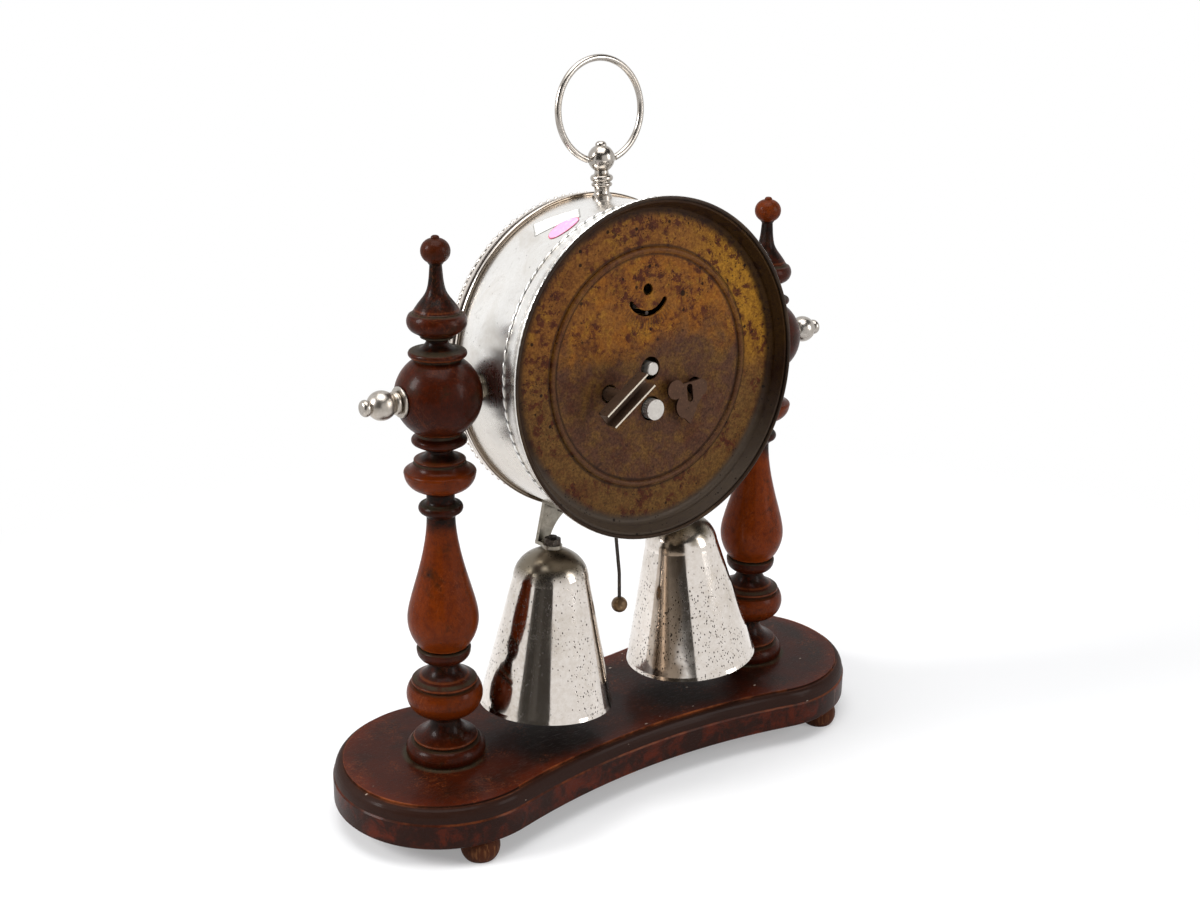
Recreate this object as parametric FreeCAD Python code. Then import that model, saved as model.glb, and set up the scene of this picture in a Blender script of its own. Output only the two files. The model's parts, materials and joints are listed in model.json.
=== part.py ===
import FreeCAD, Part
import math
import os

# Table alarm clock: a drum with two bells hung under it, carried by trunnions between
# two turned columns on a moulded board. Millimetres, +Z up, dial towards -Y, back
# towards +Y. The origin is on the floor, under the middle of the board.

V = FreeCAD.Vector

# ---- stand
foot_height = 9.0
foot_radius = 7.8
foot_inset = 8.3              # from the board's round end in to the feet's centres
foot_angle_left = 80.0        # from straight outwards, set by eye when it was made
foot_angle_right = 65.0
board_thickness = 17.0
board_lobe_radius = 45.5      # round ends of the board, about the columns
board_waist_half = 34.5       # half the board's depth at its middle
moulding_height = 6.2         # the moulded upper edge
moulding_width = 4.1
moulding_step = 0.8
moulding_ledge = 0.6          # flat between the rounding and the step
side_quirk = 0.5              # set-in of the moulding over the side
side_ease = 0.6               # rounding off at the side's lower and upper edges
tenon_radius = 5.5
tenon_length = 12.0
tenon_play = 0.05
vase_radius = 14.0
ball_radius = 16.6            # the ball of each column, about the pivot
ball_neck_radius = 8.7        # where the ball meets its collars
ball_flat = 15.4              # from the column axis to the flats on the ball

# ---- trunnions
pin_radius = 2.5
pin_play = 0.05
pin_reach = 6.0               # how far a pin enters the drum
knob_ball_radius = 5.6
knob_ball_offset = 23.8       # from the column axis to the knob's ball
knob_flange_radius = 5.6
knob_flange_thickness = 1.5
knob_ring_radius = 4.5
knob_neck_radius = 3.5
knob_nub_radius = 3.2
knob_seat_gap = 0.1
boss_radius = 6.5
boss_neck_radius = 4.0
boss_collar_radius = 5.2
boss_collar_gap = 0.2         # between the boss's collar and the column

# ---- drum
rest_tilt = 3.65              # degrees that the drum leans at rest
drum_above_pivot = 2.5
drum_radius = 63.2
drum_to_column = 16.8         # from the drum's side to a column's axis
drum_to_board = 87.0          # room under the drum for the bells
drum_wall = 0.9
drum_front = -13.0
drum_back = 32.8
rim_flare = 3.7               # how far the rim at the back stands out
rim_lip = 0.8
flare_start = 19.6
rope_width = 1.3
rope_height = 0.6
bezel_play = 0.05
bezel_spigot = 4.0
bezel_overhang = 1.0          # of its band over the drum
bezel_depth = 11.0            # from the drum's front edge to the bezel's front
pearl_count = 110
pearl_radius = 1.05
pearl_overhang = 0.2          # of the pearls' ring over the drum
pearl_offset = 7.3            # in front of the drum's front edge
pearl_wire_radius = 0.45
glass_inset = 7.7             # from the drum's side in to the glass
glass_thickness = 1.4
glass_dome = 2.4
glass_offset = 7.6            # glass edge in front of the drum's front edge
dial_inset = 5.7
dial_thickness = 0.5
dial_offset = 2.2             # dial face in front of the drum's front edge
seat_gap = 0.02               # between pieces that are fixed to each other

# ---- back cover
cover_face = 25.5
cover_thickness = 0.8
cover_play = 0.22             # at the ends of the cover's straight wall; less between
cover_corner = 3.0
cover_wall_end = 31.6
cover_bead_radius = 46.0
cover_bead_width = 1.3
cover_bead_height = 1.1
hand_hole_radius = 4.6
alarm_hole_radius = 4.9
key_hole_radius = 3.7
staff_hole_radius = 2.3
index_slot_radius = 9.3
index_slot_width = 2.3
index_slot_half_angle = 59.0

# ---- pendant and ring
pendant_y = -4.2
pendant_foot_radius = 3.9
pendant_ball_radius = 5.3
pendant_ball_height = 15.4    # from the drum to the ball's centre
pendant_shank_radius = 1.5
pendant_shank_play = 0.05
ring_wire_radius = 1.3
ring_radius = 19.6
ring_pin_radius = 0.9
ring_pin_play = 0.05
ring_pin_depth = 2.6
ring_ball_gap = 0.15

# ---- bells
bell_height = 65.0
bell_wall = 1.2
bell_shoulder_radius = 15.6
bell_shoulder_height = 52.5
bell_land = 4.2               # flat round the screw on a bell's crown
bell_splay = 5.0              # degrees
bell_mouth_drop = 75.1        # from the drum's underside to the mouths
bell_y = 0.5
bell_left_x = 37.6            # the mouths' centres
bell_right_x = -38.9
bell_left_mouth = 27.5
bell_right_mouth = 28.2
bell_screw_radius = 1.6
bell_screw_play = 0.05
bell_screw_head = 3.2
bell_nut_across = 6.4
bell_nut_height = 2.6
strap_y = -8.0
strap_thickness = 1.8
strap_foot_width = 5.6
strap_foot_thickness = 1.5
saddle_thickness = 1.2
saddle_back = 8.0
saddle_inner_angle = 73.5     # degrees below the drum's side
saddle_outer_angle = 61.5
bracket_screw_radius = 1.1
bracket_screw_play = 0.05
bracket_screw_reach = 3.4
bracket_screw_head = 2.0
bracket_screw_y = (-2.0, 4.6)

# ---- hammer
hammer_ball_radius = 3.4
hammer_ball_drop = 42.5       # below the drum's underside
hammer_y = 1.7
hammer_wire_radius = 0.75
hammer_slot_half = 6.9
hammer_slot_width = 4.4
hammer_bends = ((1.4, 6.8), (-0.3, 28.8))   # across, and below the drum's underside
verge_x = 2.5
verge_drop = 34.0

# ---- movement
plate_radius = 48.0
plate_thickness = 1.4
front_plate_y = -9.0
back_plate_y = 14.0
pillar_radius = 2.4
pillar_screw_radius = 1.3
time_pillar_angle = -50.0     # from the time arbor to its spring's pillar
alarm_pillar_angle = 220.0
nut_across = 5.6
nut_height = 2.2
arbor_radius = 0.9
pivot_radius = 0.7
pivot_play = 0.05
end_shake = 0.2
wheel_thickness = 1.1
pinion_width = 2.0
mesh_clearance = 0.12         # extra centre distance in each mesh
great_module = 0.5
train_module = 0.4
fourth_module = 0.32
hour_module = 0.48
time_arbor_angle = -19.65     # direction from the hands to the time arbor
alarm_arbor = (-21.8, -10.5)
balance_axis = (0.6, 31.0)
winding_arbor_radius = 2.2
ratchet_radius = 4.6
ratchet_teeth = 16
ratchet_depth = 0.9
click_reach = 8.2             # from a winding arbor up to its click's stud
click_stud_radius = 0.8
spring_clearance = 0.3        # between a great wheel's tips and its pillar
spring_strip = 0.45
spring_width = 9.6
spring_turns = 6
hairspring_radius = 5.2
hairspring_turns = 5
hairspring_strip = 0.15
holder_sheet = 1.2            # the angle straps that carry the movement
holder_width = 7.0
holder_depth = 8.0
holder_angles = (35, 145, 235, 325)
hand_arbor_radius = 1.0
cannon_radius = 1.6
hour_pipe_radius = 2.3
set_arbor_radius = 1.2
balance_radius = 9.0
escape_teeth = 16
escape_radius = 7.0
lever_reach = 11.0            # from the pallet axis to the balance axis
pallet_spread = 33.75         # one and a half teeth to each side of the lever's line
pallet_lag = 16.0             # a pallet pin stands this far behind a tooth's face
pallet_pin_radius = 0.35
blade_spread = 37.5           # verge blades to each side of the hammer's line
blade_lag = 10.0
striker_teeth = 12
striker_radius = 7.2
key_hub_radius = 2.75
key_end_radius = 1.5          # the slim end of a winding arbor, in the key's hub
time_key_web = 33.8           # depth of the folded channel's web
time_key_length = 23.0
time_key_width = 6.5
time_key_height = 5.4
time_key_sheet = 0.6
time_key_angle = 144.8
alarm_key_leaf = 28.2
alarm_key_sheet = 1.1
hand_knob_radius = 2.6
hand_knob_end = 27.3
alarm_knob_radius = 4.1
alarm_knob_end = 28.5
minute_hand_length = 45.0
hour_hand_length = 31.0
alarm_hand_length = 8.0
hand_thickness = 0.5
minute_hand_angle = 54.0      # clockwise from twelve
hour_hand_angle = 304.5
alarm_hand_angle = 210.0

# ---- places worked out from the sizes
column_x = drum_radius + drum_to_column
foot_circle = board_lobe_radius - foot_inset
board_top = foot_height + board_thickness
pivot_above_board = drum_radius + drum_to_board
pivot_z = board_top + pivot_above_board
rim_radius = drum_radius + rim_flare
bezel_band_radius = drum_radius + bezel_overhang
pearl_ring_radius = drum_radius + pearl_overhang
glass_radius = drum_radius - glass_inset
dial_radius = drum_radius - dial_inset
mouth_level = -drum_radius - bell_mouth_drop
hammer_ball_level = -drum_radius - hammer_ball_drop
ball_end = math.sqrt(ball_radius ** 2 - ball_neck_radius ** 2)
drum_inside = drum_radius - drum_wall
flare_span = drum_back - rim_lip - flare_start
flare_rise = rim_radius - drum_radius
flare_bend = (flare_span ** 2 + flare_rise ** 2) / (2 * flare_rise)
flare_middle = drum_radius + flare_bend
front_inner = front_plate_y + plate_thickness
back_outer = back_plate_y + plate_thickness
great_y = front_inner + 1.2
ratchet_y = great_y + wheel_thickness + 0.4
spring_y = ratchet_y + wheel_thickness + 0.3
late_y = spring_y + spring_width + 0.9
third_y = late_y + wheel_thickness + 2.0
fourth_y = spring_y + 6.0
escape_y = spring_y + 2.0
cannon_y = front_plate_y - 0.6
hour_y = cannon_y - wheel_thickness - 1.2
release_y = hour_y - wheel_thickness - 0.5
dial_face = drum_front - dial_offset
alarm_hand_y = dial_face - 0.4 - hand_thickness
hour_hand_y = alarm_hand_y - hand_thickness - 0.5
minute_hand_y = hour_hand_y - hand_thickness - 0.5


# ---- small tools
def moved(shape, x=0.0, y=0.0, z=0.0):
    copy = shape.copy()
    copy.translate(V(x, y, z))
    return copy


def turned(shape, centre, axis, angle):
    copy = shape.copy()
    copy.rotate(centre, axis, angle)
    return copy


def hang(shape):
    """From the drum's own frame, centred in the drum, to its place in the stand."""
    placed = moved(shape, z=drum_above_pivot)
    placed.rotate(V(0, 0, 0), V(1, 0, 0), rest_tilt)
    placed.translate(V(0, 0, pivot_z))
    return placed


def rod(radius, y_low, y_high, place=(0.0, 0.0)):
    """Cylinder along Y, between two depths."""
    return Part.makeCylinder(radius, y_high - y_low, V(place[0], y_low, place[1]), V(0, 1, 0))


def tube(outer, inner, y_low, y_high, place=(0.0, 0.0)):
    return rod(outer, y_low, y_high, place).cut(rod(inner, y_low - 1, y_high + 1, place))


def prism(points, y_low, y_high):
    """Flat outline of (x, z) points, given its depth along Y."""
    corners = [V(x, y_low, z) for x, z in points]
    face = Part.Face(Part.makePolygon(corners + corners[:1]))
    return face.extrude(V(0, y_high - y_low, 0))


def lathe(outline, along):
    """Solid turned about Z or Y from an outline of radii and lengths.

    The first item is the start point. Each further item is ("line", r, t),
    ("arc", r_middle, t_middle, r, t) or ("curve", [(r, t), ...])."""
    def at(r, t):
        return V(r, 0, t) if along == "z" else V(r, t, 0)

    last = outline[0]
    edges = []
    for item in outline[1:]:
        end = item[1][-1] if item[0] == "curve" else item[-2:]
        if item[0] == "line":
            edges.append(Part.makeLine(at(*last), at(*end)))
        elif item[0] == "arc":
            edges.append(Part.Arc(at(*last), at(*item[1:3]), at(*end)).toShape())
        else:
            curve = Part.BSplineCurve()
            curve.interpolate([at(*last)] + [at(*point) for point in item[1]])
            edges.append(curve.toShape())
        last = end
    if (at(*last) - at(*outline[0])).Length > 1e-7:
        edges.append(Part.makeLine(at(*last), at(*outline[0])))
    axis = V(0, 0, 1) if along == "z" else V(0, 1, 0)
    solid = Part.Face(Part.Wire(edges)).revolve(V(0, 0, 0), axis, 360)
    if solid.Volume < 0:
        solid.reverse()
    return solid


def polar(radius, degrees, centre=(0.0, 0.0)):
    angle = math.radians(degrees)
    return (centre[0] + radius * math.cos(angle), centre[1] + radius * math.sin(angle))


def heading(start, end):
    return math.degrees(math.atan2(end[1] - start[1], end[0] - start[0]))


def gap_between(start, end):
    return math.hypot(end[0] - start[0], end[1] - start[1])


def third_corner(first, second, first_reach, second_reach):
    """The place at given distances from two others, to the left of the way between."""
    base = gap_between(first, second)
    along = (base ** 2 + first_reach ** 2 - second_reach ** 2) / (2 * base)
    across = math.sqrt(first_reach ** 2 - along ** 2)
    foot = polar(along, heading(first, second), first)
    return polar(across, heading(first, second) + 90, foot)


# ---- train layout: places of the arbors and the phase of every wheel
def pitch_radius(teeth, module):
    return teeth * module / 2


def meshed_phase(phase, teeth, centre, other_teeth, other_centre):
    """Phase that puts a space of the other wheel over a tooth of this one."""
    way = heading(centre, other_centre)
    share = ((way - phase) * teeth / 360) % 1
    return way + 180 + (share + 0.5) * 360 / other_teeth


centre_axis = (0.0, 0.0)
great_teeth = 72
centre_pinion_teeth = 12
centre_teeth = 60
third_pinion_teeth = 8
third_teeth = 60
fourth_pinion_teeth = 8
fourth_teeth = 48
escape_pinion_teeth = 8
alarm_great_teeth = 68
striker_pinion_teeth = 8
cannon_teeth = 12
minute_teeth = 36
minute_pinion_teeth = 10
hour_teeth = 40
release_teeth = 32

time_reach = pitch_radius(great_teeth + centre_pinion_teeth, great_module) + mesh_clearance
time_arbor = polar(time_reach, time_arbor_angle)
pallet_reach = escape_radius + 1.5
lever_way = 213.5             # direction from the balance to the pallets
pallet_axis = polar(lever_reach, lever_way, balance_axis)
escape_axis = polar(lever_reach + pallet_reach, lever_way, balance_axis)
fourth_reach = pitch_radius(fourth_teeth + escape_pinion_teeth, fourth_module) + mesh_clearance
train_reach = pitch_radius(third_teeth + fourth_pinion_teeth, train_module) + mesh_clearance
fourth_axis = polar(fourth_reach, -28.0, escape_axis)
third_axis = third_corner(fourth_axis, centre_axis, train_reach, train_reach)
striker_reach = pitch_radius(alarm_great_teeth + striker_pinion_teeth, great_module) + mesh_clearance
striker_axis = polar(striker_reach, -41.8, alarm_arbor)
verge_axis = (verge_x, -verge_drop)
minute_reach = pitch_radius(cannon_teeth + minute_teeth, great_module) + mesh_clearance
minute_axis = polar(minute_reach, 150.0)
alarm_drop = pitch_radius(2 * release_teeth, great_module) + mesh_clearance
set_axis = (0.0, -alarm_drop)

great_phase = 0.0
centre_phase = meshed_phase(great_phase, great_teeth, time_arbor, centre_pinion_teeth, centre_axis)
third_phase = meshed_phase(centre_phase, centre_teeth, centre_axis, third_pinion_teeth, third_axis)
fourth_phase = meshed_phase(third_phase, third_teeth, third_axis, fourth_pinion_teeth, fourth_axis)
escape_phase = meshed_phase(fourth_phase, fourth_teeth, fourth_axis,
                            escape_pinion_teeth, escape_axis)
alarm_great_phase = 0.0
striker_phase = meshed_phase(alarm_great_phase, alarm_great_teeth, alarm_arbor,
                             striker_pinion_teeth, striker_axis)
cannon_phase = 0.0
minute_phase = meshed_phase(cannon_phase, cannon_teeth, centre_axis, minute_teeth, minute_axis)
hour_phase = meshed_phase(minute_phase, minute_pinion_teeth, minute_axis, hour_teeth, centre_axis)
release_phase = meshed_phase(hour_phase, release_teeth, centre_axis, release_teeth, set_axis)

time_spring_radius = pitch_radius(great_teeth + 1, great_module) + spring_clearance - spring_strip
alarm_spring_radius = (pitch_radius(alarm_great_teeth + 1, great_module) + spring_clearance
                       - spring_strip)
spring_pillar = spring_strip + seat_gap + pillar_radius
pillar_places = [
    polar(time_spring_radius + spring_pillar, time_pillar_angle, time_arbor),
    polar(alarm_spring_radius + spring_pillar, alarm_pillar_angle, alarm_arbor),
    (-31.0, 27.0), (29.0, 27.0)]


def toothed(teeth, module, y_low, y_high, place, phase, leaf=False):
    """Wheel or pinion with straight-sided teeth that narrow towards their tips."""
    radius = pitch_radius(teeth, module)
    step = 360 / teeth
    root = radius - (1.25 if leaf else 1.2) * module
    tip = radius + (0.75 if leaf else 0.9) * module
    wide = (0.20 if leaf else 0.23) * step
    points = []
    for tooth in range(teeth):
        middle = phase + tooth * step
        points += [polar(root, middle - wide, place), polar(radius, middle - wide * 0.94, place),
                   polar(tip, middle - wide * 0.38, place), polar(tip, middle + wide * 0.38, place),
                   polar(radius, middle + wide * 0.94, place), polar(root, middle + wide, place)]
    return prism(points, y_low, y_high)


def crossed(wheel, rim_inner, hub_radius, y_low, y_high, place, arms=4, arm_width=2.2):
    """Opens a wheel between its rim and hub, leaving straight arms."""
    opening = tube(rim_inner, hub_radius, y_low - 1, y_high + 1, place)
    for arm in range(arms // 2):
        bar = Part.makeBox(2 * rim_inner + 2, y_high - y_low + 4, arm_width,
                           V(place[0] - rim_inner - 1, y_low - 2, place[1] - arm_width / 2))
        opening = opening.cut(turned(bar, V(place[0], 0, place[1]), V(0, 1, 0),
                                     360 / arms * arm))
    return wheel.cut(opening)


def spiral(inner, outer, turns, strip, y_low, y_high, place, end_angle):
    """Flat spiral strip whose outer end points at end_angle."""
    steps = turns * 12
    outside = []
    inside = []
    for step in range(steps + 1):
        share = step / steps
        radius = inner + (outer - inner) * share
        angle = end_angle - 360 * turns * (1 - share)
        outside.append(V(*_flat(polar(radius + strip, angle, place), y_low)))
        inside.append(V(*_flat(polar(radius, angle, place), y_low)))
    outer_curve = Part.BSplineCurve()
    outer_curve.interpolate(outside)
    inner_curve = Part.BSplineCurve()
    inner_curve.interpolate(inside[::-1])
    edges = [outer_curve.toShape(), Part.makeLine(outside[-1], inside[-1]),
             inner_curve.toShape(), Part.makeLine(inside[0], outside[0])]
    return Part.Face(Part.Wire(edges)).extrude(V(0, y_high - y_low, 0))


def _flat(point, y):
    return point[0], y, point[1]


def hex_nut(across, height, bore):
    """Nut standing on z = 0 with its upper corners eased."""
    corner = across / math.sqrt(3)
    corners = [V(*polar(corner, 60 * i), 0) for i in range(6)]
    nut = Part.Face(Part.makePolygon(corners + corners[:1])).extrude(V(0, 0, height))
    easing = Part.makeCone(corner * 1.3, corner * 0.88, height)
    return nut.common(easing).cut(Part.makeCylinder(bore, 3 * height, V(0, 0, -height)))


# ---- stand
def board_outline(z, inset):
    """Two round lobes about the columns, joined by hollow sides as tangent arcs."""
    lobe = board_lobe_radius - inset
    waist = board_waist_half - inset
    spare = lobe - waist
    far = (column_x ** 2 - spare ** 2) / (2 * spare) + waist
    hollow = far - waist
    reach = math.hypot(column_x, far)
    x = column_x * hollow / reach
    y = far - far * hollow / reach
    stations = [V(-x, y, z), V(0, waist, z), V(x, y, z), V(column_x + lobe, 0, z), V(x, -y, z),
                V(0, -waist, z), V(-x, -y, z), V(-column_x - lobe, 0, z), V(-x, y, z)]
    arcs = [Part.Arc(*stations[i:i + 3]).toShape() for i in (0, 2, 4, 6)]
    return Part.Wire(arcs)


def edge_layer(z_low, inset_low, z_high, inset_high):
    """Slice of the board whose edge slopes from one inset to the other."""
    return Part.makeLoft([board_outline(z_low, inset_low), board_outline(z_high, inset_high)],
                         True, True)


def make_board():
    """Slab with eased sides, a set-in rounded moulding, and a stepped flat top."""
    shoulder = board_top - moulding_height
    step_low = board_top - moulding_step
    layers = [(foot_height, side_ease), (foot_height + side_ease, 0.0),
              (shoulder - side_ease, 0.0), (shoulder, side_quirk)]
    slices = 6
    rise = step_low - shoulder
    run = moulding_width - moulding_ledge - side_quirk
    for number in range(1, slices + 1):
        angle = math.pi / 2 * number / slices
        layers.append((shoulder + rise * math.sin(angle),
                       side_quirk + run * (1 - math.cos(angle))))
    layers += [(step_low, moulding_width), (board_top, moulding_width)]
    board = None
    for (z_low, inset_low), (z_high, inset_high) in zip(layers, layers[1:]):
        if z_high > z_low:
            piece = edge_layer(z_low, inset_low, z_high, inset_high)
            board = piece if board is None else board.fuse(piece)
    for side in (-1, 1):
        depth = tenon_length + tenon_play
        board = board.cut(Part.makeCylinder(tenon_radius + tenon_play, depth,
                                            V(side * column_x, 0, board_top - depth)))
    return board


def make_feet():
    """Four turned bun feet as separate solids."""
    bun = lathe([(0, 0), ("line", foot_radius * 0.8, 0),
                 ("arc", foot_radius, foot_height * 0.45, foot_radius * 0.88, foot_height * 0.9),
                 ("line", foot_radius * 0.8, foot_height), ("line", 0, foot_height)], "z")
    feet = []
    for side, angle in ((1, foot_angle_left), (-1, foot_angle_right)):
        out, across = polar(foot_circle, angle)
        for depth in (-across, across):
            feet.append(moved(bun, side * (column_x + out), depth))
    return Part.makeCompound(feet)


def raised(outline, lift):
    """The same outline pieces, higher up."""
    result = []
    for item in outline:
        if item[0] == "line":
            result.append(("line", item[1], item[2] + lift))
        elif item[0] == "arc":
            result.append(("arc", item[1], item[2] + lift, item[3], item[4] + lift))
        else:
            result.append(("curve", [(r, t + lift) for r, t in item[1]]))
    return result


def column_outline():
    """Radius and height from the tenon to the tip, heights from the board's top."""
    base = [
        (0, -tenon_length), ("line", tenon_radius, -tenon_length), ("line", tenon_radius, 0),
        ("line", 15.5, 0), ("arc", 15.9, 3.2, 13.9, 6.2), ("line", 12.0, 6.3),
        ("line", 12.0, 6.9), ("line", 12.5, 7.0), ("arc", 12.9, 7.6, 12.3, 8.2),
        ("line", 11.1, 8.6), ("curve", [(8.6, 10.0), (6.6, 12.5), (5.7, 15.6)]),
        ("line", 5.7, 17.0), ("line", 9.4, 18.7), ("arc", 15.2, 26.4, 14.0, 31.0),
        ("line", 12.2, 31.3), ("line", 12.2, 31.9), ("line", 12.7, 32.0),
        ("arc", 13.1, 32.7, 12.5, 33.4), ("line", 11.4, 34.0),
        ("curve", [(8.8, 35.5), (6.8, 37.5), (5.7, 39.8)]), ("line", 5.9, 40.9),
        ("line", 7.6, 41.5), ("arc", 10.0, 43.5, 10.7, 46.2), ("arc", 10.5, 47.2, 9.8, 47.5),
        ("line", 8.7, 47.3), ("line", 8.7, 47.7), ("line", 9.9, 48.2)]
    vase_low = base[-1][2]
    vase_high = pivot_above_board - ball_end - 34.0
    shares = [(0.914, 0.093), (1.0, 0.204), (0.929, 0.333), (0.729, 0.519), (0.529, 0.722),
              (0.414, 0.907), (0.393, 1.0)]
    vase = [("curve", [(vase_radius * wide, vase_low + (vase_high - vase_low) * up)
                       for wide, up in shares])]
    under_ball = [
        ("line", 7.2, -32.4), ("arc", 8.6, -30.6, 8.0, -28.9), ("line", 6.8, -28.6),
        ("arc", 5.7, -27.8, 5.4, -26.6), ("line", 5.4, -24.6), ("line", 6.4, -23.1),
        ("arc", 11.7, -20.9, 13.7, -16.4), ("arc", 13.6, -15.2, 12.7, -14.7),
        ("arc", 11.0, -13.7, 10.1, -12.1), ("line", 9.6, -11.9), ("line", 9.6, -11.4),
        ("arc", 9.9, -10.9, 9.3, -10.5), ("arc", 6.3, -9.6, 4.8, -7.9), ("line", 4.8, -7.0),
        ("arc", 7.2, -5.9, 9.6, -4.6), ("arc", 10.6, -3.2, 9.9, -1.8),
        ("line", ball_neck_radius, -1.2), ("line", ball_neck_radius, 0)]
    ball = [("arc", ball_radius, ball_end, ball_neck_radius, 2 * ball_end)]
    finial = [
        ("line", ball_neck_radius, 0.5), ("line", 10.0, 0.9), ("arc", 11.0, 2.2, 10.3, 3.4),
        ("line", 8.8, 3.6), ("arc", 5.7, 4.7, 4.2, 6.6), ("line", 4.3, 7.3),
        ("line", 6.3, 8.3), ("line", 6.4, 8.9), ("line", 8.0, 10.1),
        ("arc", 11.2, 14.5, 10.3, 17.0), ("line", 9.0, 17.5), ("line", 9.0, 17.9),
        ("line", 8.6, 18.3),
        ("curve", [(6.1, 21.9), (3.9, 25.1), (2.9, 28.7), (2.3, 35.1)]),
        ("line", 3.1, 36.2), ("arc", 5.5, 40.4, 1.6, 44.9), ("arc", 1.3, 45.7, 0.6, 46.0),
        ("line", 0, 46.0)]
    ball_low = pivot_above_board - ball_end
    return (base + vase + raised(under_ball, ball_low) + raised(ball, ball_low)
            + raised(finial, ball_low + 2 * ball_end))


def make_column(side):
    """Turned column, its ball bored and flatted for the trunnion."""
    column = moved(lathe(column_outline(), "z"), side * column_x, 0, board_top)
    column = column.cut(Part.makeCylinder(pin_radius + pin_play, 4 * ball_radius,
                                          V(side * column_x - 2 * ball_radius, 0, pivot_z),
                                          V(1, 0, 0)))
    for face in (-1, 1):
        edge = ball_flat if face > 0 else -ball_flat - ball_radius
        column = column.cut(Part.makeBox(ball_radius, 4 * ball_radius, 2 * ball_radius,
                                         V(side * column_x + edge, -2 * ball_radius,
                                           pivot_z - ball_radius)))
    if side > 0:
        # an old chip out of this column's lowest ring
        chip = Part.makeBox(5.0, 3.2, 4.0, V(13.2, -1.6, 1.2))
        chip = turned(turned(chip, V(13.2, 0, 5.2), V(0, 1, 0), 25), V(0, 0, 0), V(0, 0, 1), -30)
        column = column.cut(moved(chip, column_x, 0, board_top))
    return column


def make_knob(side):
    """Turned metal thumb knob: flange, ring, ball and round nub, bored for its pin."""
    face = ball_flat + knob_seat_gap
    flange = face + knob_flange_thickness
    ball = knob_ball_offset
    ball_reach = math.sqrt(knob_ball_radius ** 2 - knob_neck_radius ** 2)
    waist = ball - ball_reach
    nub_neck = 0.75 * knob_nub_radius
    nub_start = ball + math.sqrt(knob_ball_radius ** 2 - nub_neck ** 2)
    nub_end = nub_start + knob_nub_radius
    knob = lathe([(pin_radius, face), ("line", knob_flange_radius, face),
                  ("arc", knob_flange_radius + 0.3, (face + flange) / 2,
                   knob_flange_radius, flange),
                  ("line", knob_neck_radius, flange),
                  ("arc", knob_ring_radius, (flange + waist) / 2, knob_neck_radius, waist),
                  ("arc", knob_ball_radius, ball, nub_neck, nub_start),
                  ("arc", knob_nub_radius, nub_start + 1.3, 0.8, nub_end), ("line", 0, nub_end),
                  ("line", 0, ball + 2), ("line", pin_radius, ball + 2)], "z")
    return moved(turned(knob, V(0, 0, 0), V(0, 1, 0), 90 * side), side * column_x, 0, pivot_z)


def make_pin(side):
    """Steel trunnion pin from inside the drum out into the knob, its tip eased."""
    start = drum_radius - pin_reach
    end = column_x + knob_ball_offset + 2
    pin = lathe([(0, start), ("line", pin_radius - 0.6, start), ("line", pin_radius, start + 0.6),
                 ("line", pin_radius, end), ("line", 0, end)], "z")
    return moved(turned(pin, V(0, 0, 0), V(0, 1, 0), 90 * side), z=pivot_z)


# ---- drum, in its own frame
def flare_at(y, inset=0.0):
    """Radius of the flared wall at a depth, inset from its outer face."""
    return flare_middle - math.sqrt((flare_bend + inset) ** 2 - (y - flare_start) ** 2)


def flare_arc(y_low, y_high, inset):
    """The wall's arc from the first depth to the second, for lathe()."""
    middle = (y_low + y_high) / 2
    return ("arc", flare_at(middle, inset), middle, flare_at(y_high, inset), y_high)


def across_x(radius, start, end, side):
    """Cylinder along X about the trunnion axis, from start outwards."""
    return Part.makeCylinder(radius, end - start, V(side * start, 0, -drum_above_pivot),
                             V(side, 0, 0))


def saddle_screw_angles():
    middle = -(saddle_inner_angle + saddle_outer_angle) / 2
    return [middle, 180 - middle]


def radial_rod(radius, low, high, degrees, y):
    start = polar(low, degrees)
    way = polar(1, degrees)
    return Part.makeCylinder(radius, high - low, V(start[0], y, start[1]), V(way[0], 0, way[1]))


def hammer_x_at(level):
    """Where the hammer's arm stands at some height in the drum's frame."""
    return verge_x * (hammer_ball_level - level) / (hammer_ball_level + verge_drop)


def make_case():
    """Rolled tube with a flared and lipped back edge."""
    lip = drum_back - rim_lip
    inner = lip - rim_lip
    outline = [(drum_inside, drum_front), ("line", drum_radius, drum_front),
               ("line", drum_radius, flare_start), flare_arc(flare_start, lip, 0),
               ("arc", rim_radius - rim_lip, drum_back, rim_radius - 2 * rim_lip, lip),
               ("line", flare_at(inner, drum_wall), inner),
               flare_arc(inner, flare_start, drum_wall), ("line", drum_inside, drum_front)]
    case = lathe(outline, "y")
    for side in (-1, 1):
        case = case.cut(across_x(boss_neck_radius + seat_gap, drum_radius - 8, drum_radius + 5,
                                 side))
    for degrees in saddle_screw_angles():
        for y in bracket_screw_y:
            case = case.cut(radial_rod(bracket_screw_radius + bracket_screw_play,
                                       drum_radius - 4, drum_radius + 4, degrees, y))
    slot_x = hammer_x_at(-drum_radius)
    case = case.cut(Part.makeBox(2 * hammer_slot_half, hammer_slot_width, 8,
                                 V(slot_x - hammer_slot_half, hammer_y - hammer_slot_width / 2,
                                   -drum_radius - 4)))
    hole = Part.makeCylinder(pendant_shank_radius + pendant_shank_play, 8,
                             V(0, pendant_y, drum_radius - 4))
    return case.cut(hole)


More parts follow.
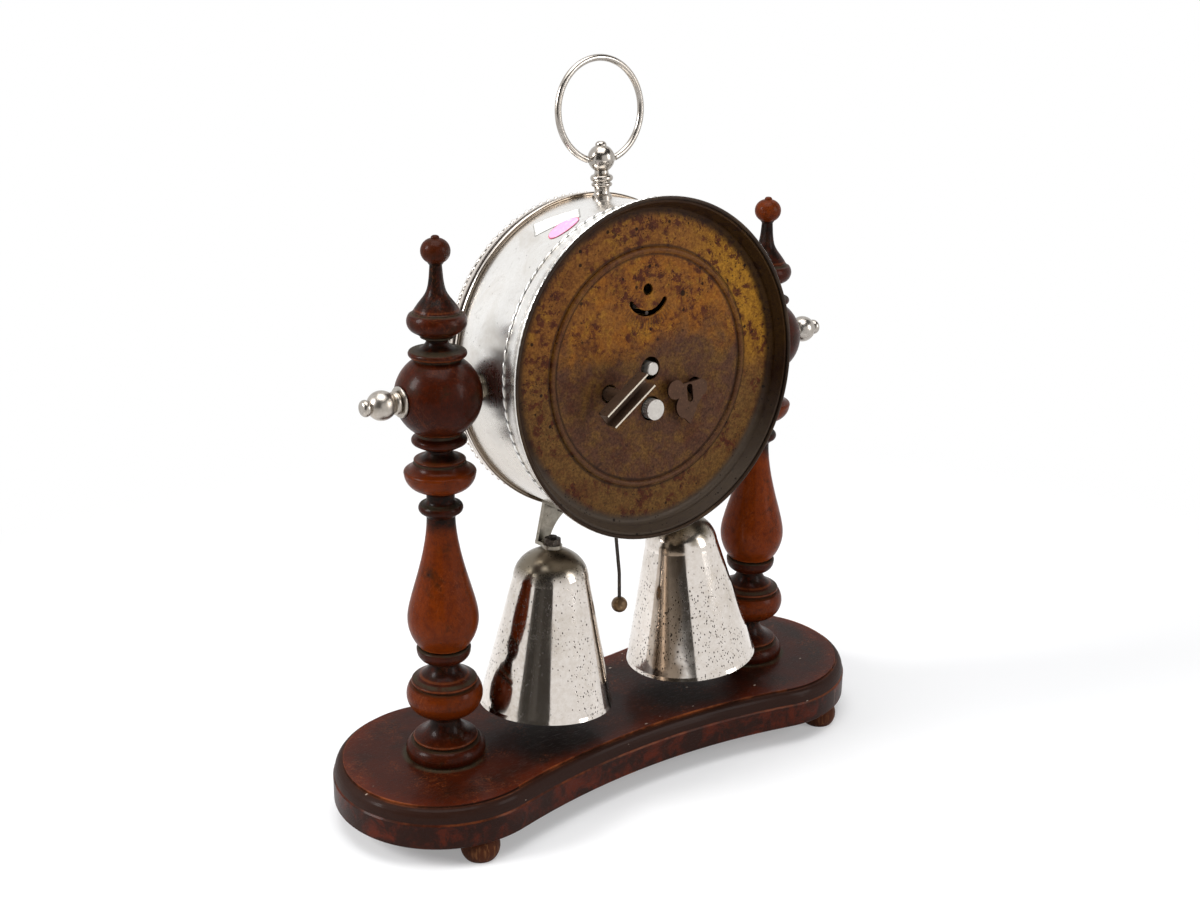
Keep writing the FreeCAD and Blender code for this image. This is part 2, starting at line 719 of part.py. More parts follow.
def make_bosses():
    """Two brass bushes riveted through the drum's sides, bored for the pins."""
    bosses = []
    for side in (-1, 1):
        collar_end = column_x - ball_flat - boss_collar_gap
        inner = across_x(boss_radius, drum_radius - pin_reach, drum_radius + 2, side)
        inner = inner.common(rod(drum_inside - seat_gap, -20, 20))
        collar = across_x(boss_collar_radius, drum_radius - 6, collar_end, side)
        collar = collar.cut(rod(drum_radius + seat_gap, -20, 20))
        neck = across_x(boss_neck_radius, drum_radius - pin_reach, collar_end, side)
        boss = inner.fuse([collar, neck])
        bosses.append(boss.cut(across_x(pin_radius + pin_play, drum_radius - 12,
                                        collar_end + 1, side)))
    return Part.makeCompound(bosses)


def make_rope():
    """Fine half-round line rolled round the drum before the flare."""
    start = flare_start - rope_width
    return lathe([(drum_radius, start),
                  ("arc", drum_radius + rope_height, start + rope_width / 2,
                   drum_radius, flare_start)], "y")


def make_bezel():
    """Front ring: spigot, rolled edge, groove, line, band, pearl groove and front lip."""
    front = drum_front
    band = bezel_band_radius
    spigot = drum_inside - bezel_play
    groove = pearl_ring_radius - pearl_radius - seat_gap
    seat = front - glass_offset
    nose = front - bezel_depth
    pearls = front - pearl_offset
    glass_room = glass_radius + bezel_play
    return lathe([
        (spigot, front + bezel_spigot), ("line", spigot, front), ("line", band - 0.8, front),
        ("arc", band + 0.7, front - 0.9, band - 0.6, front - 1.8),
        ("arc", band - 1.6, front - 2.6, band - 0.5, front - 3.3), ("line", band - 0.2, front - 3.5),
        ("line", band - 0.2, front - 3.9), ("line", band - 0.5, front - 4.0),
        ("line", band, front - 4.3), ("line", band, pearls + pearl_radius + 0.3),
        ("line", groove, pearls + pearl_radius + 0.1),
        ("line", groove, pearls - pearl_radius - 0.2),
        ("line", groove + 0.7, pearls - pearl_radius - 0.3),
        ("arc", groove + 0.1, nose + 0.5, groove - 1.8, nose),
        ("curve", [(groove - 4.4, nose + 0.9), (glass_radius - 1.0, seat - 0.6)]),
        ("line", glass_radius - 1.3, seat - 0.15), ("line", glass_room, seat),
        ("line", glass_room, seat + glass_thickness), ("line", spigot - 1.4, front - 2.5),
        ("line", spigot - 1.4, front + bezel_spigot)], "y")


def make_pearls():
    """Row of small balls on a ring wire."""
    y = drum_front - pearl_offset
    ring = Part.makeTorus(pearl_ring_radius, pearl_wire_radius, V(0, y, 0), V(0, 1, 0))
    step = 360 / pearl_count
    ball = Part.makeSphere(pearl_radius, V(0, 0, 0), V(0, 1, 0))
    ball = turned(ball, V(0, 0, 0), V(0, 1, 0), 45)
    ball = moved(ball, pearl_ring_radius, y)
    pearls = [turned(ball, V(0, 0, 0), V(0, 1, 0), step * (number + 0.5))
              for number in range(pearl_count)]
    return ring.multiFuse(pearls)


def make_glass():
    """Domed glass whose edge stands in the bezel's seat."""
    edge = drum_front - glass_offset
    crown = edge - glass_dome
    half = 0.5 * glass_radius
    inside = crown + glass_thickness
    return lathe([(0, crown), ("line", 1.0, crown),
                  ("arc", half, crown + 0.25 * glass_dome, glass_radius, edge),
                  ("line", glass_radius, edge + glass_thickness),
                  ("arc", half, inside + 0.25 * glass_dome, 1.0, inside),
                  ("line", 0, inside)], "y")


def make_dial():
    """Flat dial with three feet that stand on the front plate."""
    dial = rod(dial_radius, dial_face, dial_face + dial_thickness)
    for degrees in (30, 150, 270):
        dial = dial.fuse(rod(1.0, dial_face, front_plate_y, polar(40, degrees)))
    dial = dial.cut(rod(hour_pipe_radius + 0.4, dial_face - 1, dial_face + 2))
    return dial.cut(rod(set_arbor_radius + 0.4, dial_face - 1, dial_face + 2, set_axis))


def cover_holes():
    return [(hand_hole_radius, centre_axis), (alarm_hole_radius, set_axis),
            (key_hole_radius, time_arbor), (key_hole_radius, alarm_arbor),
            (staff_hole_radius, balance_axis)]


def make_cover():
    """Pressed back cover: a shallow cup with a raised ring, holes and an index slot."""
    face = cover_face
    back = face - cover_thickness
    outer = drum_wall + cover_play
    inner = outer + cover_thickness
    low = back + cover_corner
    turn = face + cover_corner - cover_thickness
    slant = (1 - math.sqrt(0.5)) * cover_corner
    slim = cover_corner - cover_thickness
    slim_slant = (1 - math.sqrt(0.5)) * slim
    outline = [
        (0, back), ("line", flare_at(low, outer) - cover_corner, back),
        ("arc", flare_at(low, outer) - slant, back + slant, flare_at(low, outer), low),
        ("line", flare_at(cover_wall_end, outer), cover_wall_end),
        ("line", flare_at(cover_wall_end, inner), cover_wall_end),
        ("line", flare_at(turn, inner), turn),
        ("arc", flare_at(turn, inner) - slim_slant, face + slim_slant,
         flare_at(turn, inner) - slim, face),
        ("line", cover_bead_radius + cover_bead_width, face),
        ("arc", cover_bead_radius, face + cover_bead_height,
         cover_bead_radius - cover_bead_width, face), ("line", 0, face)]
    cover = lathe(outline, "y")
    for radius, place in cover_holes():
        cover = cover.cut(rod(radius, back - 1, face + 1, place))
    return cover.cut(make_index_slot(back - 1, face + 1))


def make_index_slot(y_low, y_high):
    """Curved slot under the balance hole, with round ends."""
    half = index_slot_width / 2
    arc_band = tube(index_slot_radius + half, index_slot_radius - half, y_low, y_high, balance_axis)
    left = polar(40, 270 - index_slot_half_angle, balance_axis)
    right = polar(40, 270 + index_slot_half_angle, balance_axis)
    far = (balance_axis[0], balance_axis[1] - 60)
    slot = arc_band.common(prism([balance_axis, left, far, right], y_low, y_high))
    for side in (-1, 1):
        end = polar(index_slot_radius, 270 + side * index_slot_half_angle, balance_axis)
        slot = slot.fuse(rod(half, y_low, y_high, end))
    return slot


# ---- pendant and ring
def ring_axis_z():
    return drum_radius + pendant_ball_height


def make_pendant():
    """Turned stem with two rings, a bored ball and a small cap."""
    ball = pendant_ball_height
    wide = pendant_ball_radius
    stem = lathe([
        (0, -2.5), ("line", pendant_foot_radius, -2.5), ("line", pendant_foot_radius, 1.2),
        ("line", 3.1, 1.8), ("curve", [(2.9, 3.2), (3.2, 4.6)]),
        ("arc", 4.1, 5.4, 3.3, 6.2), ("line", 3.3, 6.5), ("arc", 4.5, 7.9, 3.3, 9.2),
        ("line", 2.8, 9.7), ("line", 2.7, ball - 4.6),
        ("arc", wide, ball, 2.2, ball + 4.82), ("line", 2.2, ball + 5.4),
        ("arc", 1.7, ball + 6.2, 0.6, ball + 6.6), ("line", 0, ball + 6.6)], "z")
    stem = moved(stem, 0, pendant_y, drum_radius)
    stem = stem.cut(rod(drum_radius + seat_gap, -30, 30))
    shank = Part.makeCylinder(pendant_shank_radius, 6.5, V(0, pendant_y, drum_inside - 3.5))
    rivet = Part.makeCylinder(2.8, 1.2, V(0, pendant_y, drum_inside - 1.6))
    stem = stem.fuse([shank, rivet])
    for side in (-1, 1):
        hole = Part.makeCylinder(ring_pin_radius + ring_pin_play, ring_pin_depth + 3,
                                 V(side * (wide - ring_pin_depth - 0.2), pendant_y, ring_axis_z()),
                                 V(side, 0, 0))
        stem = stem.cut(hole)
    return stem


def make_ring():
    """Round wire handle whose ends turn inwards as pins into the pendant's ball."""
    hook = pendant_ball_radius + ring_wire_radius + ring_ball_gap
    lift = math.sqrt(ring_radius ** 2 - hook ** 2)
    middle = V(0, pendant_y, ring_axis_z() + lift)
    open_angle = math.degrees(math.asin(hook / ring_radius))
    section = Part.Face(Part.Wire(Part.makeCircle(
        ring_wire_radius, middle + V(0, 0, -ring_radius), V(1, 0, 0))))
    section.rotate(middle, V(0, 1, 0), open_angle)
    ring = section.revolve(middle, V(0, 1, 0), 360 - 2 * open_angle)
    for side in (-1, 1):
        end = V(side * hook, pendant_y, ring_axis_z())
        pin_start = pendant_ball_radius - ring_pin_depth
        ring = ring.fuse([Part.makeSphere(ring_wire_radius, end),
                          Part.makeCylinder(ring_pin_radius, hook - pin_start,
                                            V(side * pin_start, pendant_y, ring_axis_z()),
                                            V(side, 0, 0))])
    return ring


# ---- bells and brackets
def bell_frame(shape, mouth_x):
    """From a bell's own frame, mouth at the origin, to its place under the drum."""
    side = 1 if mouth_x > 0 else -1
    placed = turned(shape, V(0, 0, 0), V(0, 1, 0), -side * bell_splay)
    return moved(placed, mouth_x, bell_y, mouth_level)


def make_bell(mouth_x, mouth_radius):
    """Tall thin-walled cup with straight sides and a rounded crown, open below."""
    top = bell_height
    wall = bell_wall
    shoulder = bell_shoulder_radius
    crown = [(shoulder - 1.0, top - 8.4), (shoulder - 3.6, top - 4.4),
             (shoulder - 7.8, top - 1.4), (bell_land, top)]
    under = [(shoulder - 7.8 - 0.3 * wall, top - 1.4 - wall),
             (shoulder - 3.6 - 0.75 * wall, top - 4.4 - 0.75 * wall),
             (shoulder - 1.0 - wall, top - 8.4 - 0.3 * wall),
             (shoulder - wall, bell_shoulder_height)]
    bell = lathe([(mouth_radius - wall, 0), ("line", mouth_radius, 0),
                  ("line", mouth_radius - 0.5, 1.4), ("line", shoulder, bell_shoulder_height),
                  ("curve", crown), ("line", 0, top), ("line", 0, top - wall),
                  ("line", bell_land, top - wall), ("curve", under)], "z")
    bell = bell.cut(Part.makeCylinder(bell_screw_radius + bell_screw_play, 10, V(0, 0, top - 5)))
    return bell_frame(bell, mouth_x)


def bell_top_place(mouth_x):
    side = 1 if mouth_x > 0 else -1
    lean = math.radians(bell_splay)
    return (mouth_x - side * bell_height * math.sin(lean),
            mouth_level + bell_height * math.cos(lean))


def make_bracket(mouth_x):
    """Nickelled strap: saddle on the drum, flared blade, and a foot over the bell."""
    side = 1 if mouth_x > 0 else -1
    top_x, top_z = bell_top_place(mouth_x)
    low = bell_height + seat_gap
    foot = Part.makeBox(strap_foot_width, bell_y - strap_y, strap_foot_thickness,
                        V(-strap_foot_width / 2, strap_y - bell_y, low))
    foot = foot.fuse(Part.makeCylinder(4.0, strap_foot_thickness, V(0, 0, low)))
    foot = foot.cut(Part.makeCylinder(bell_screw_radius + bell_screw_play, 10, V(0, 0, low - 3)))
    foot = bell_frame(foot, mouth_x)

    hug = drum_radius + seat_gap
    inner_top = polar(hug, -saddle_inner_angle)
    outer_top = polar(hug, -saddle_outer_angle)
    reach = strap_foot_width / 2
    lean = math.radians(bell_splay)
    outer_low = (abs(top_x) + reach * math.cos(lean), top_z + reach * math.sin(lean))
    inner_low = (abs(top_x) - reach * math.cos(lean), top_z - reach * math.sin(lean))
    bulge = ((inner_low[0] + inner_top[0]) / 2 + 1.5, (inner_low[1] + inner_top[1]) / 2 + 1.3)
    over = polar(hug, -(saddle_inner_angle + saddle_outer_angle) / 2)

    def at(point):
        return V(side * point[0], strap_y, point[1])

    edges = [Part.makeLine(at(outer_top), at(outer_low)), Part.makeLine(at(outer_low), at(inner_low)),
             Part.Arc(at(inner_low), at(bulge), at(inner_top)).toShape(),
             Part.Arc(at(inner_top), at(over), at(outer_top)).toShape()]
    blade = Part.Face(Part.Wire(edges)).extrude(V(0, strap_thickness, 0))

    wedge = prism([(0, 0), polar(90, -saddle_inner_angle), polar(90, -saddle_outer_angle)],
                  strap_y, saddle_back)
    saddle = tube(hug + saddle_thickness, hug, strap_y, saddle_back).common(wedge)
    for y in bracket_screw_y:
        angle = -(saddle_inner_angle + saddle_outer_angle) / 2
        saddle = saddle.cut(radial_rod(bracket_screw_radius + bracket_screw_play,
                                       drum_radius - 4, drum_radius + 6, angle, y))
    if side < 0:
        saddle = saddle.mirror(V(0, 0, 0), V(1, 0, 0))
    return blade.fuse([foot, saddle])


def make_bracket_screws():
    """Four short screws with round heads, two through each saddle."""
    screws = []
    for degrees in saddle_screw_angles():
        for y in bracket_screw_y:
            seat = drum_radius + saddle_thickness + 2 * seat_gap
            shank = radial_rod(bracket_screw_radius, drum_radius - bracket_screw_reach,
                               seat + 0.4, degrees, y)
            head = radial_rod(bracket_screw_head, seat, seat + 1.0, degrees, y)
            screws.append(shank.fuse(head))
    return Part.makeCompound(screws)


def make_bell_screws():
    """Two screws from inside the bells up through the straps' feet."""
    end = bell_height + strap_foot_thickness + bell_nut_height + 1.0
    head = bell_height - bell_wall - seat_gap
    screw = lathe([(0, head - 1.6), ("line", bell_screw_head * 0.6, head - 1.6),
                   ("arc", bell_screw_head * 0.9, head - 1.2, bell_screw_head, head - 0.5),
                   ("line", bell_screw_head, head), ("line", bell_screw_radius, head),
                   ("line", bell_screw_radius, end), ("line", 0, end)], "z")
    return Part.makeCompound([bell_frame(screw, x) for x in (bell_left_x, bell_right_x)])


def make_bell_nuts():
    base = bell_height + strap_foot_thickness + 2 * seat_gap
    nut = moved(hex_nut(bell_nut_across, bell_nut_height, bell_screw_radius + bell_screw_play),
                z=base)
    return Part.makeCompound([bell_frame(nut, x) for x in (bell_left_x, bell_right_x)])


# ---- hammer
def hammer_corners():
    return [(x, -drum_radius - drop) for x, drop in hammer_bends]


def make_hammer():
    """Arbor, two verge blades and the long bent arm."""
    x, z = verge_axis
    arbor = rod(arbor_radius, front_inner + end_shake, back_plate_y - end_shake, verge_axis)
    pivots = rod(pivot_radius, front_plate_y, back_outer, verge_axis)
    stations = [(x, z), *hammer_corners(), (0.0, hammer_ball_level)]
    pieces = [pivots]
    for low, high in zip(stations, stations[1:]):
        start = V(low[0], hammer_y, low[1])
        end = V(high[0], hammer_y, high[1])
        pieces.append(Part.makeCylinder(hammer_wire_radius, (end - start).Length, start,
                                        end - start))
        pieces.append(Part.makeSphere(hammer_wire_radius, start))
    way = heading(striker_axis, verge_axis)
    clear = striker_radius + 1.45
    for spread in (-blade_spread, blade_spread):
        tip = polar(clear, way + spread, striker_axis)
        line = heading(verge_axis, tip)
        length = gap_between(verge_axis, tip)
        blade = Part.makeBox(length, wheel_thickness, 0.7, V(0, 0, -0.35))
        blade = turned(blade, V(0, 0, 0), V(0, 1, 0), -line)
        pieces.append(moved(blade, x, late_y, z))
    collar = rod(arbor_radius + 0.9, late_y - 0.6, late_y + wheel_thickness + 0.6, verge_axis)
    return arbor.fuse(pieces + [collar])


def make_hammer_ball():
    """Brass ball on the arm's end."""
    centre = V(0, hammer_y, hammer_ball_level)
    ball = Part.makeSphere(hammer_ball_radius, centre)
    last_bend = hammer_corners()[-1]
    start = V(last_bend[0], hammer_y, last_bend[1])
    hole = Part.makeCylinder(hammer_wire_radius + seat_gap, (centre - start).Length + 0.5, start,
                             centre - start)
    return ball.cut(hole)


# ---- movement frame
def plain_arbors():
    """Axes whose small pivots run in both plates."""
    return [third_axis, fourth_axis, escape_axis, pallet_axis, balance_axis, striker_axis,
            verge_axis]


def make_front_plate():
    """Round brass plate with pivot holes and the minute wheel's stud."""
    low, high = front_plate_y, front_inner
    plate = rod(plate_radius, low, high)
    holes = [rod(pivot_radius + pivot_play, low - 1, high + 1, place) for place in plain_arbors()]
    holes += [rod(pivot_radius + 0.5 + pivot_play, low - 1, high + 1, place)
              for place in (time_arbor, alarm_arbor)]
    holes.append(rod(hand_arbor_radius + pivot_play, low - 1, high + 1))
    holes.append(rod(set_arbor_radius + pivot_play, low - 1, high + 1, set_axis))
    holes += [rod(pillar_screw_radius + seat_gap, low - 1, high + 1, place)
              for place in pillar_places]
    stud = rod(arbor_radius, hour_y - 0.4, low, minute_axis)
    return plate.cut(Part.makeCompound(holes)).fuse(stud)


def make_back_plate():
    """Round brass plate with pivot holes, the index's collar and the hairspring's stud."""
    low, high = back_plate_y, back_outer
    plate = rod(plate_radius, low, high)
    collar = rod(2.2, high, high + 1.4, balance_axis)
    stud_place = polar(hairspring_radius + 0.75 + seat_gap, 0, balance_axis)
    stud = rod(0.6, hairspring_y() - 0.2, low, stud_place)
    plate = plate.fuse([collar, stud])
    holes = [rod(pivot_radius + pivot_play, low - 1, high + 2, place) for place in plain_arbors()]
    holes += [rod(winding_arbor_radius + pivot_play, low - 1, high + 1, place)
              for place in (time_arbor, alarm_arbor)]
    holes.append(rod(hand_arbor_radius + pivot_play, low - 1, high + 1))
    holes.append(rod(set_arbor_radius + pivot_play, low - 1, high + 1, set_axis))
    holes += [rod(pillar_screw_radius + seat_gap, low - 1, high + 1, place)
              for place in pillar_places]
    return plate.cut(Part.makeCompound(holes))


def make_pillars():
    """Four pillars with threaded ends that pass through both plates."""
    pillars = []
    reach = nut_height + 0.8
    for place in pillar_places:
        body = rod(pillar_radius, front_inner, back_plate_y, place)
        ends = rod(pillar_screw_radius, front_plate_y - reach, back_outer + reach, place)
        pillars.append(body.fuse(ends))
    return Part.makeCompound(pillars)


def make_pillar_nuts():
    """Eight nuts, one on each end of the pillars."""
    nut = hex_nut(nut_across, nut_height, pillar_screw_radius + seat_gap)
    rear = turned(nut, V(0, 0, 0), V(1, 0, 0), -90)
    front = turned(nut, V(0, 0, 0), V(1, 0, 0), 90)
    nuts = []
    for x, z in pillar_places:
        nuts.append(moved(rear, x, back_outer, z))
        nuts.append(moved(front, x, front_plate_y, z))
    return Part.makeCompound(nuts)


def make_holders():
    """Four angle straps from the front plate to the drum's wall."""
    holders = []
    wall_face = drum_inside - seat_gap
    shell = tube(wall_face, wall_face - holder_sheet, front_inner, front_inner + holder_depth)
    corner = V(0, front_inner, -holder_width / 2)
    ring = tube(wall_face, plate_radius - 3.4, front_inner, front_inner + holder_sheet)
    for degrees in holder_angles:
        block = Part.makeBox(wall_face + 2, holder_depth, holder_width, corner)
        flat = Part.makeBox(wall_face + 2, holder_sheet, holder_width, corner).common(ring)
        holder = flat.fuse(shell.common(block))
        holders.append(turned(holder, V(0, 0, 0), V(0, 1, 0), -degrees))
    return Part.makeCompound(holders)


# ---- springs
def hairspring_y():
    return late_y + 0.4


def make_hairspring():
    return spiral(1.7, hairspring_radius, hairspring_turns, hairspring_strip, hairspring_y(),
                  hairspring_y() + 0.8, balance_axis, 0)


def make_mainspring(place, radius, end_angle):
    start = winding_arbor_radius + 1.6
    return spiral(start, radius, spring_turns, spring_strip, spring_y, spring_y + spring_width,
                  place, end_angle)


# ---- going train
def make_great_wheel(teeth, place, phase):
    """Great wheel, loose on its winding arbor, with the click's stud."""
    low, high = great_y, great_y + wheel_thickness
    wheel = toothed(teeth, great_module, low, high, place, phase)
    wheel = crossed(wheel, pitch_radius(teeth, great_module) - 3.0, 9.6, low, high, place,
                    arm_width=3.0)
    wheel = wheel.cut(rod(winding_arbor_radius + pivot_play, low - 1, high + 1, place))
    stud = rod(click_stud_radius, high, ratchet_y + wheel_thickness, click_stud(place))
    return wheel.fuse(stud)


def click_stud(place):
    return polar(click_reach, 90, place)


def make_click(place):
    """Pawl on its stud, its nose just clear of the ratchet's teeth."""
    low, high = ratchet_y, ratchet_y + wheel_thickness
    x, z = click_stud(place)
    nose = polar(ratchet_radius + 0.25, 90 + 38, place)
    boss = rod(1.6, low, high, (x, z))
    blade = prism([(x - 0.4, z + 1.5), (x - 0.9, z - 1.2), nose,
                   (nose[0] - 0.5, nose[1] + 0.9)], low, high)
    return boss.fuse(blade).cut(rod(click_stud_radius + pivot_play, low - 1, high + 1, (x, z)))


def make_winding_arbor(place, end):
    """Arbor with its ratchet, front pivot, and a slimmer end for the key's hub."""
    arbor = rod(winding_arbor_radius, front_inner + end_shake, back_outer + 4, place)
    pivot = rod(pivot_radius + 0.5, front_plate_y, front_inner + 1, place)
    tail = rod(key_end_radius, back_outer + 3, end, place)
    points = []
    for tooth in range(ratchet_teeth):
        angle = 360 / ratchet_teeth * tooth
        points.append(polar(ratchet_radius, angle, place))
        points.append(polar(ratchet_radius - ratchet_depth, angle + 1.5, place))
    ratchet = prism(points, ratchet_y, ratchet_y + wheel_thickness)
    return arbor.fuse([pivot, tail, ratchet])


def key_hub(place, end):
    """Tubular hub that grips the winding arbor's end."""
    return tube(key_hub_radius, key_end_radius + seat_gap, back_outer + 5, end, place)


def make_time_key():
    """Hub carrying a channel folded from sheet, its two wings standing outwards."""
    half = time_key_length / 2
    wide = time_key_width / 2
    web_end = time_key_web + time_key_sheet
    channel = Part.makeBox(time_key_length, time_key_sheet + time_key_height, time_key_width,
                           V(-half, time_key_web, -wide))
    hollow = Part.makeBox(time_key_length + 2, time_key_height + 1,
                          time_key_width - 2 * time_key_sheet,
                          V(-half - 1, web_end, time_key_sheet - wide))
    channel = turned(channel.cut(hollow), V(0, 0, 0), V(0, 1, 0), -time_key_angle)
    channel = moved(channel, time_arbor[0], 0, time_arbor[1])
    hub = key_hub(time_arbor, time_key_web)
    return hub.fuse(channel)


def make_alarm_key():
    """Hub carrying one lobed leaf folded over close to the cover, pierced near the hub."""
    low = alarm_key_leaf
    high = low + alarm_key_sheet
    x, z = alarm_arbor

    def spot(dx, dz):
        return (x + dx, z + dz)

    leaf = rod(3.9, low, high, spot(12.2, 1.0))
    leaf = leaf.fuse([rod(5.2, low, high, spot(6.8, -6.2)), rod(3.6, low, high, alarm_arbor),
                      prism([spot(-2.4, -2.2), spot(-0.6, 3.5), spot(11.4, 2.6),
                             spot(9.4, -3.0), spot(4.0, -9.6)], low, high),
                      prism([spot(2.6, -9.4), spot(5.0, -14.0), spot(8.2, -11.0)], low, high)])
    slot = rod(1.4, low - 1, high + 1, spot(5.4, 1.0)).fuse([
        rod(1.4, low - 1, high + 1, spot(5.0, -3.6)),
        prism([spot(4.0, 1.0), spot(6.8, 1.0), spot(6.4, -3.6), spot(3.6, -3.6)],
              low - 1, high + 1)])
    hub = key_hub(alarm_arbor, low + 0.2)
    return hub.fuse(leaf.cut(slot)).cut(rod(key_end_radius + seat_gap, back_outer, low - 0.6,
                                            alarm_arbor))


def make_centre_wheel():
    """Wheel and pinion on a sleeve that turns on the hands' arbor."""
    low, high = late_y, late_y + wheel_thickness
    wheel = crossed(toothed(centre_teeth, train_module, low, high, centre_axis, centre_phase),
                    9.6, 3.2, low, high, centre_axis)
    pinion = toothed(centre_pinion_teeth, great_module, great_y - 0.4, great_y + pinion_width,
                     centre_axis, centre_phase, leaf=True)
    sleeve = rod(1.9, great_y - 0.4, high + 0.5)
    whole = wheel.fuse([pinion, sleeve])
    return whole.cut(rod(hand_arbor_radius + pivot_play, front_plate_y, back_outer))


def make_train_arbor(place):
    body = rod(arbor_radius, front_inner + end_shake, back_plate_y - end_shake, place)
    return body.fuse(rod(pivot_radius, front_plate_y, back_outer, place))


def make_third_wheel():
    low, high = third_y, third_y + wheel_thickness
    wheel = crossed(toothed(third_teeth, train_module, low, high, third_axis, third_phase),
                    9.6, 2.6, low, high, third_axis)
    pinion = toothed(third_pinion_teeth, train_module, late_y - 0.4, late_y + pinion_width - 0.2,
                     third_axis, third_phase, leaf=True)
    return make_train_arbor(third_axis).fuse([wheel, pinion])


def make_fourth_wheel():
    low, high = fourth_y, fourth_y + wheel_thickness
    wheel = crossed(toothed(fourth_teeth, fourth_module, low, high, fourth_axis, fourth_phase),
                    5.8, 2.2, low, high, fourth_axis, arm_width=1.4)
    pinion = toothed(fourth_pinion_teeth, train_module, third_y - 0.4, third_y + pinion_width - 0.4,
                     fourth_axis, fourth_phase, leaf=True)
    return make_train_arbor(fourth_axis).fuse([wheel, pinion])


def saw_wheel(teeth, radius, depth, y_low, y_high, place, phase):
    """Wheel with long-backed pointed teeth."""
    points = []
    for tooth in range(teeth):
        angle = phase + 360 / teeth * tooth
        points.append(polar(radius, angle, place))
        points.append(polar(radius, angle + 3.5, place))
        points.append(polar(radius - depth, angle + 0.55 * 360 / teeth, place))
        points.append(polar(radius - depth, angle + 0.85 * 360 / teeth, place))
    return prism(points, y_low, y_high)


def make_escape_wheel():
    low, high = escape_y, escape_y + wheel_thickness
    way = heading(pallet_axis, balance_axis)
    wheel = crossed(saw_wheel(escape_teeth, escape_radius, 1.5, low, high, escape_axis,
                              way + pallet_spread - pallet_lag),
                    4.5, 1.9, low, high, escape_axis, arm_width=1.2)
    pinion = toothed(escape_pinion_teeth, fourth_module, fourth_y - 0.4,
                     fourth_y + pinion_width - 0.4, escape_axis, escape_phase, leaf=True)
    return make_train_arbor(escape_axis).fuse([wheel, pinion])


def make_pallet_lever():
    """Lever with two pallet pins over the escape wheel and a fork at the balance."""
    low, high = escape_y - 1.9, escape_y - 0.8
    way = heading(pallet_axis, balance_axis)
    fork_end = lever_reach - 1.8
    arm = Part.makeBox(fork_end - 1.5, high - low, 1.3, V(0, 0, -0.65))
    fork = Part.makeBox(2.2, high - low, 4.2, V(fork_end - 2.2, 0, -2.1))
    notch = Part.makeBox(2.2, high - low + 2, 2.3, V(fork_end - 1.2, -1, -1.15))
    lever = moved(turned(arm.fuse(fork).cut(notch), V(0, 0, 0), V(0, 1, 0), -way),
                  pallet_axis[0], low, pallet_axis[1])
    pieces = [lever, rod(1.7, low, high, pallet_axis)]
    for spread in (-pallet_spread, pallet_spread):
        pin = polar(escape_radius + pallet_pin_radius + 0.05, way + spread, escape_axis)
        line = heading(pallet_axis, pin)
        length = gap_between(pallet_axis, pin)
        limb = Part.makeBox(length, high - low, 1.0, V(0, 0, -0.5))
        pieces.append(moved(turned(limb, V(0, 0, 0), V(0, 1, 0), -line),
                            pallet_axis[0], low, pallet_axis[1]))
        pieces.append(rod(pallet_pin_radius, low, escape_y + wheel_thickness + 0.3, pin))
        pieces.append(rod(0.6, low, high, pin))
    return make_train_arbor(pallet_axis).fuse(pieces)


def make_balance():
    """Balance wheel with two arms, staff, collet and impulse pin."""
    low = fourth_y + 2.2
    high = low + 1.4
    wheel = tube(balance_radius, balance_radius - 1.5, low, high, balance_axis)
    x, z = balance_axis
    bar = Part.makeBox(2 * balance_radius - 1, high - low, 1.4,
                       V(x - balance_radius + 0.5, low, z - 0.7))
    roller = rod(2.4, escape_y - 3.4, escape_y - 2.4, balance_axis)
    roller_pin = rod(0.35, escape_y - 3.0, escape_y - 0.8,
                     polar(1.6, lever_way, balance_axis))
    collet = rod(1.5, hairspring_y() - 0.1, hairspring_y() + 0.9, balance_axis)
    return make_train_arbor(balance_axis).fuse([wheel, bar, roller, roller_pin, collet,
                                                rod(2.0, low, high, balance_axis)])


def make_index():
    """Regulator lever on its collar, its bent tip behind the cover's slot."""
    low, high = back_outer + 0.1, back_outer + 1.1
    x, z = balance_axis
    ring = rod(3.6, low, high, balance_axis)
    arm = prism([(x - 1.0, z - 2.5), (x + 1.0, z - 2.5), (x + 0.7, z - index_slot_radius),
                 (x - 0.7, z - index_slot_radius)], low, high)
    tip = rod(0.8, low, cover_face - cover_thickness - 0.3, (x, z - index_slot_radius))
    return ring.fuse([arm, tip]).cut(rod(2.2 + pivot_play, low - 1, high + 1, balance_axis))


# ---- alarm train
def make_striker_wheel():
    """Alarm escape wheel that rocks the hammer, with its pinion."""
    low, high = late_y, late_y + wheel_thickness
    way = heading(striker_axis, verge_axis)
    wheel = saw_wheel(striker_teeth, striker_radius, 1.9, low, high, striker_axis,
                      way - blade_spread - blade_lag)
    pinion = toothed(striker_pinion_teeth, great_module, great_y - 0.4, great_y + pinion_width,
                     striker_axis, striker_phase, leaf=True)
    return make_train_arbor(striker_axis).fuse([wheel, pinion])


# ---- hands and motion work
def make_centre_arbor():
    """Hands' arbor with the cannon pinion in front and the setting knob behind."""
    arbor = rod(hand_arbor_radius, minute_hand_y - 0.2, back_outer + 4)
    cannon = rod(cannon_radius, minute_hand_y, cannon_y)
    pinion = toothed(cannon_teeth, great_module, cannon_y - wheel_thickness, cannon_y,
                     centre_axis, cannon_phase, leaf=True)
    knob = rod(hand_knob_radius, back_outer + 3, hand_knob_end)
    knob = knob.makeChamfer(0.3, [edge for edge in knob.Edges
                                  if edge.BoundBox.YMin > hand_knob_end - 0.01])
    return arbor.fuse([cannon, pinion, knob])


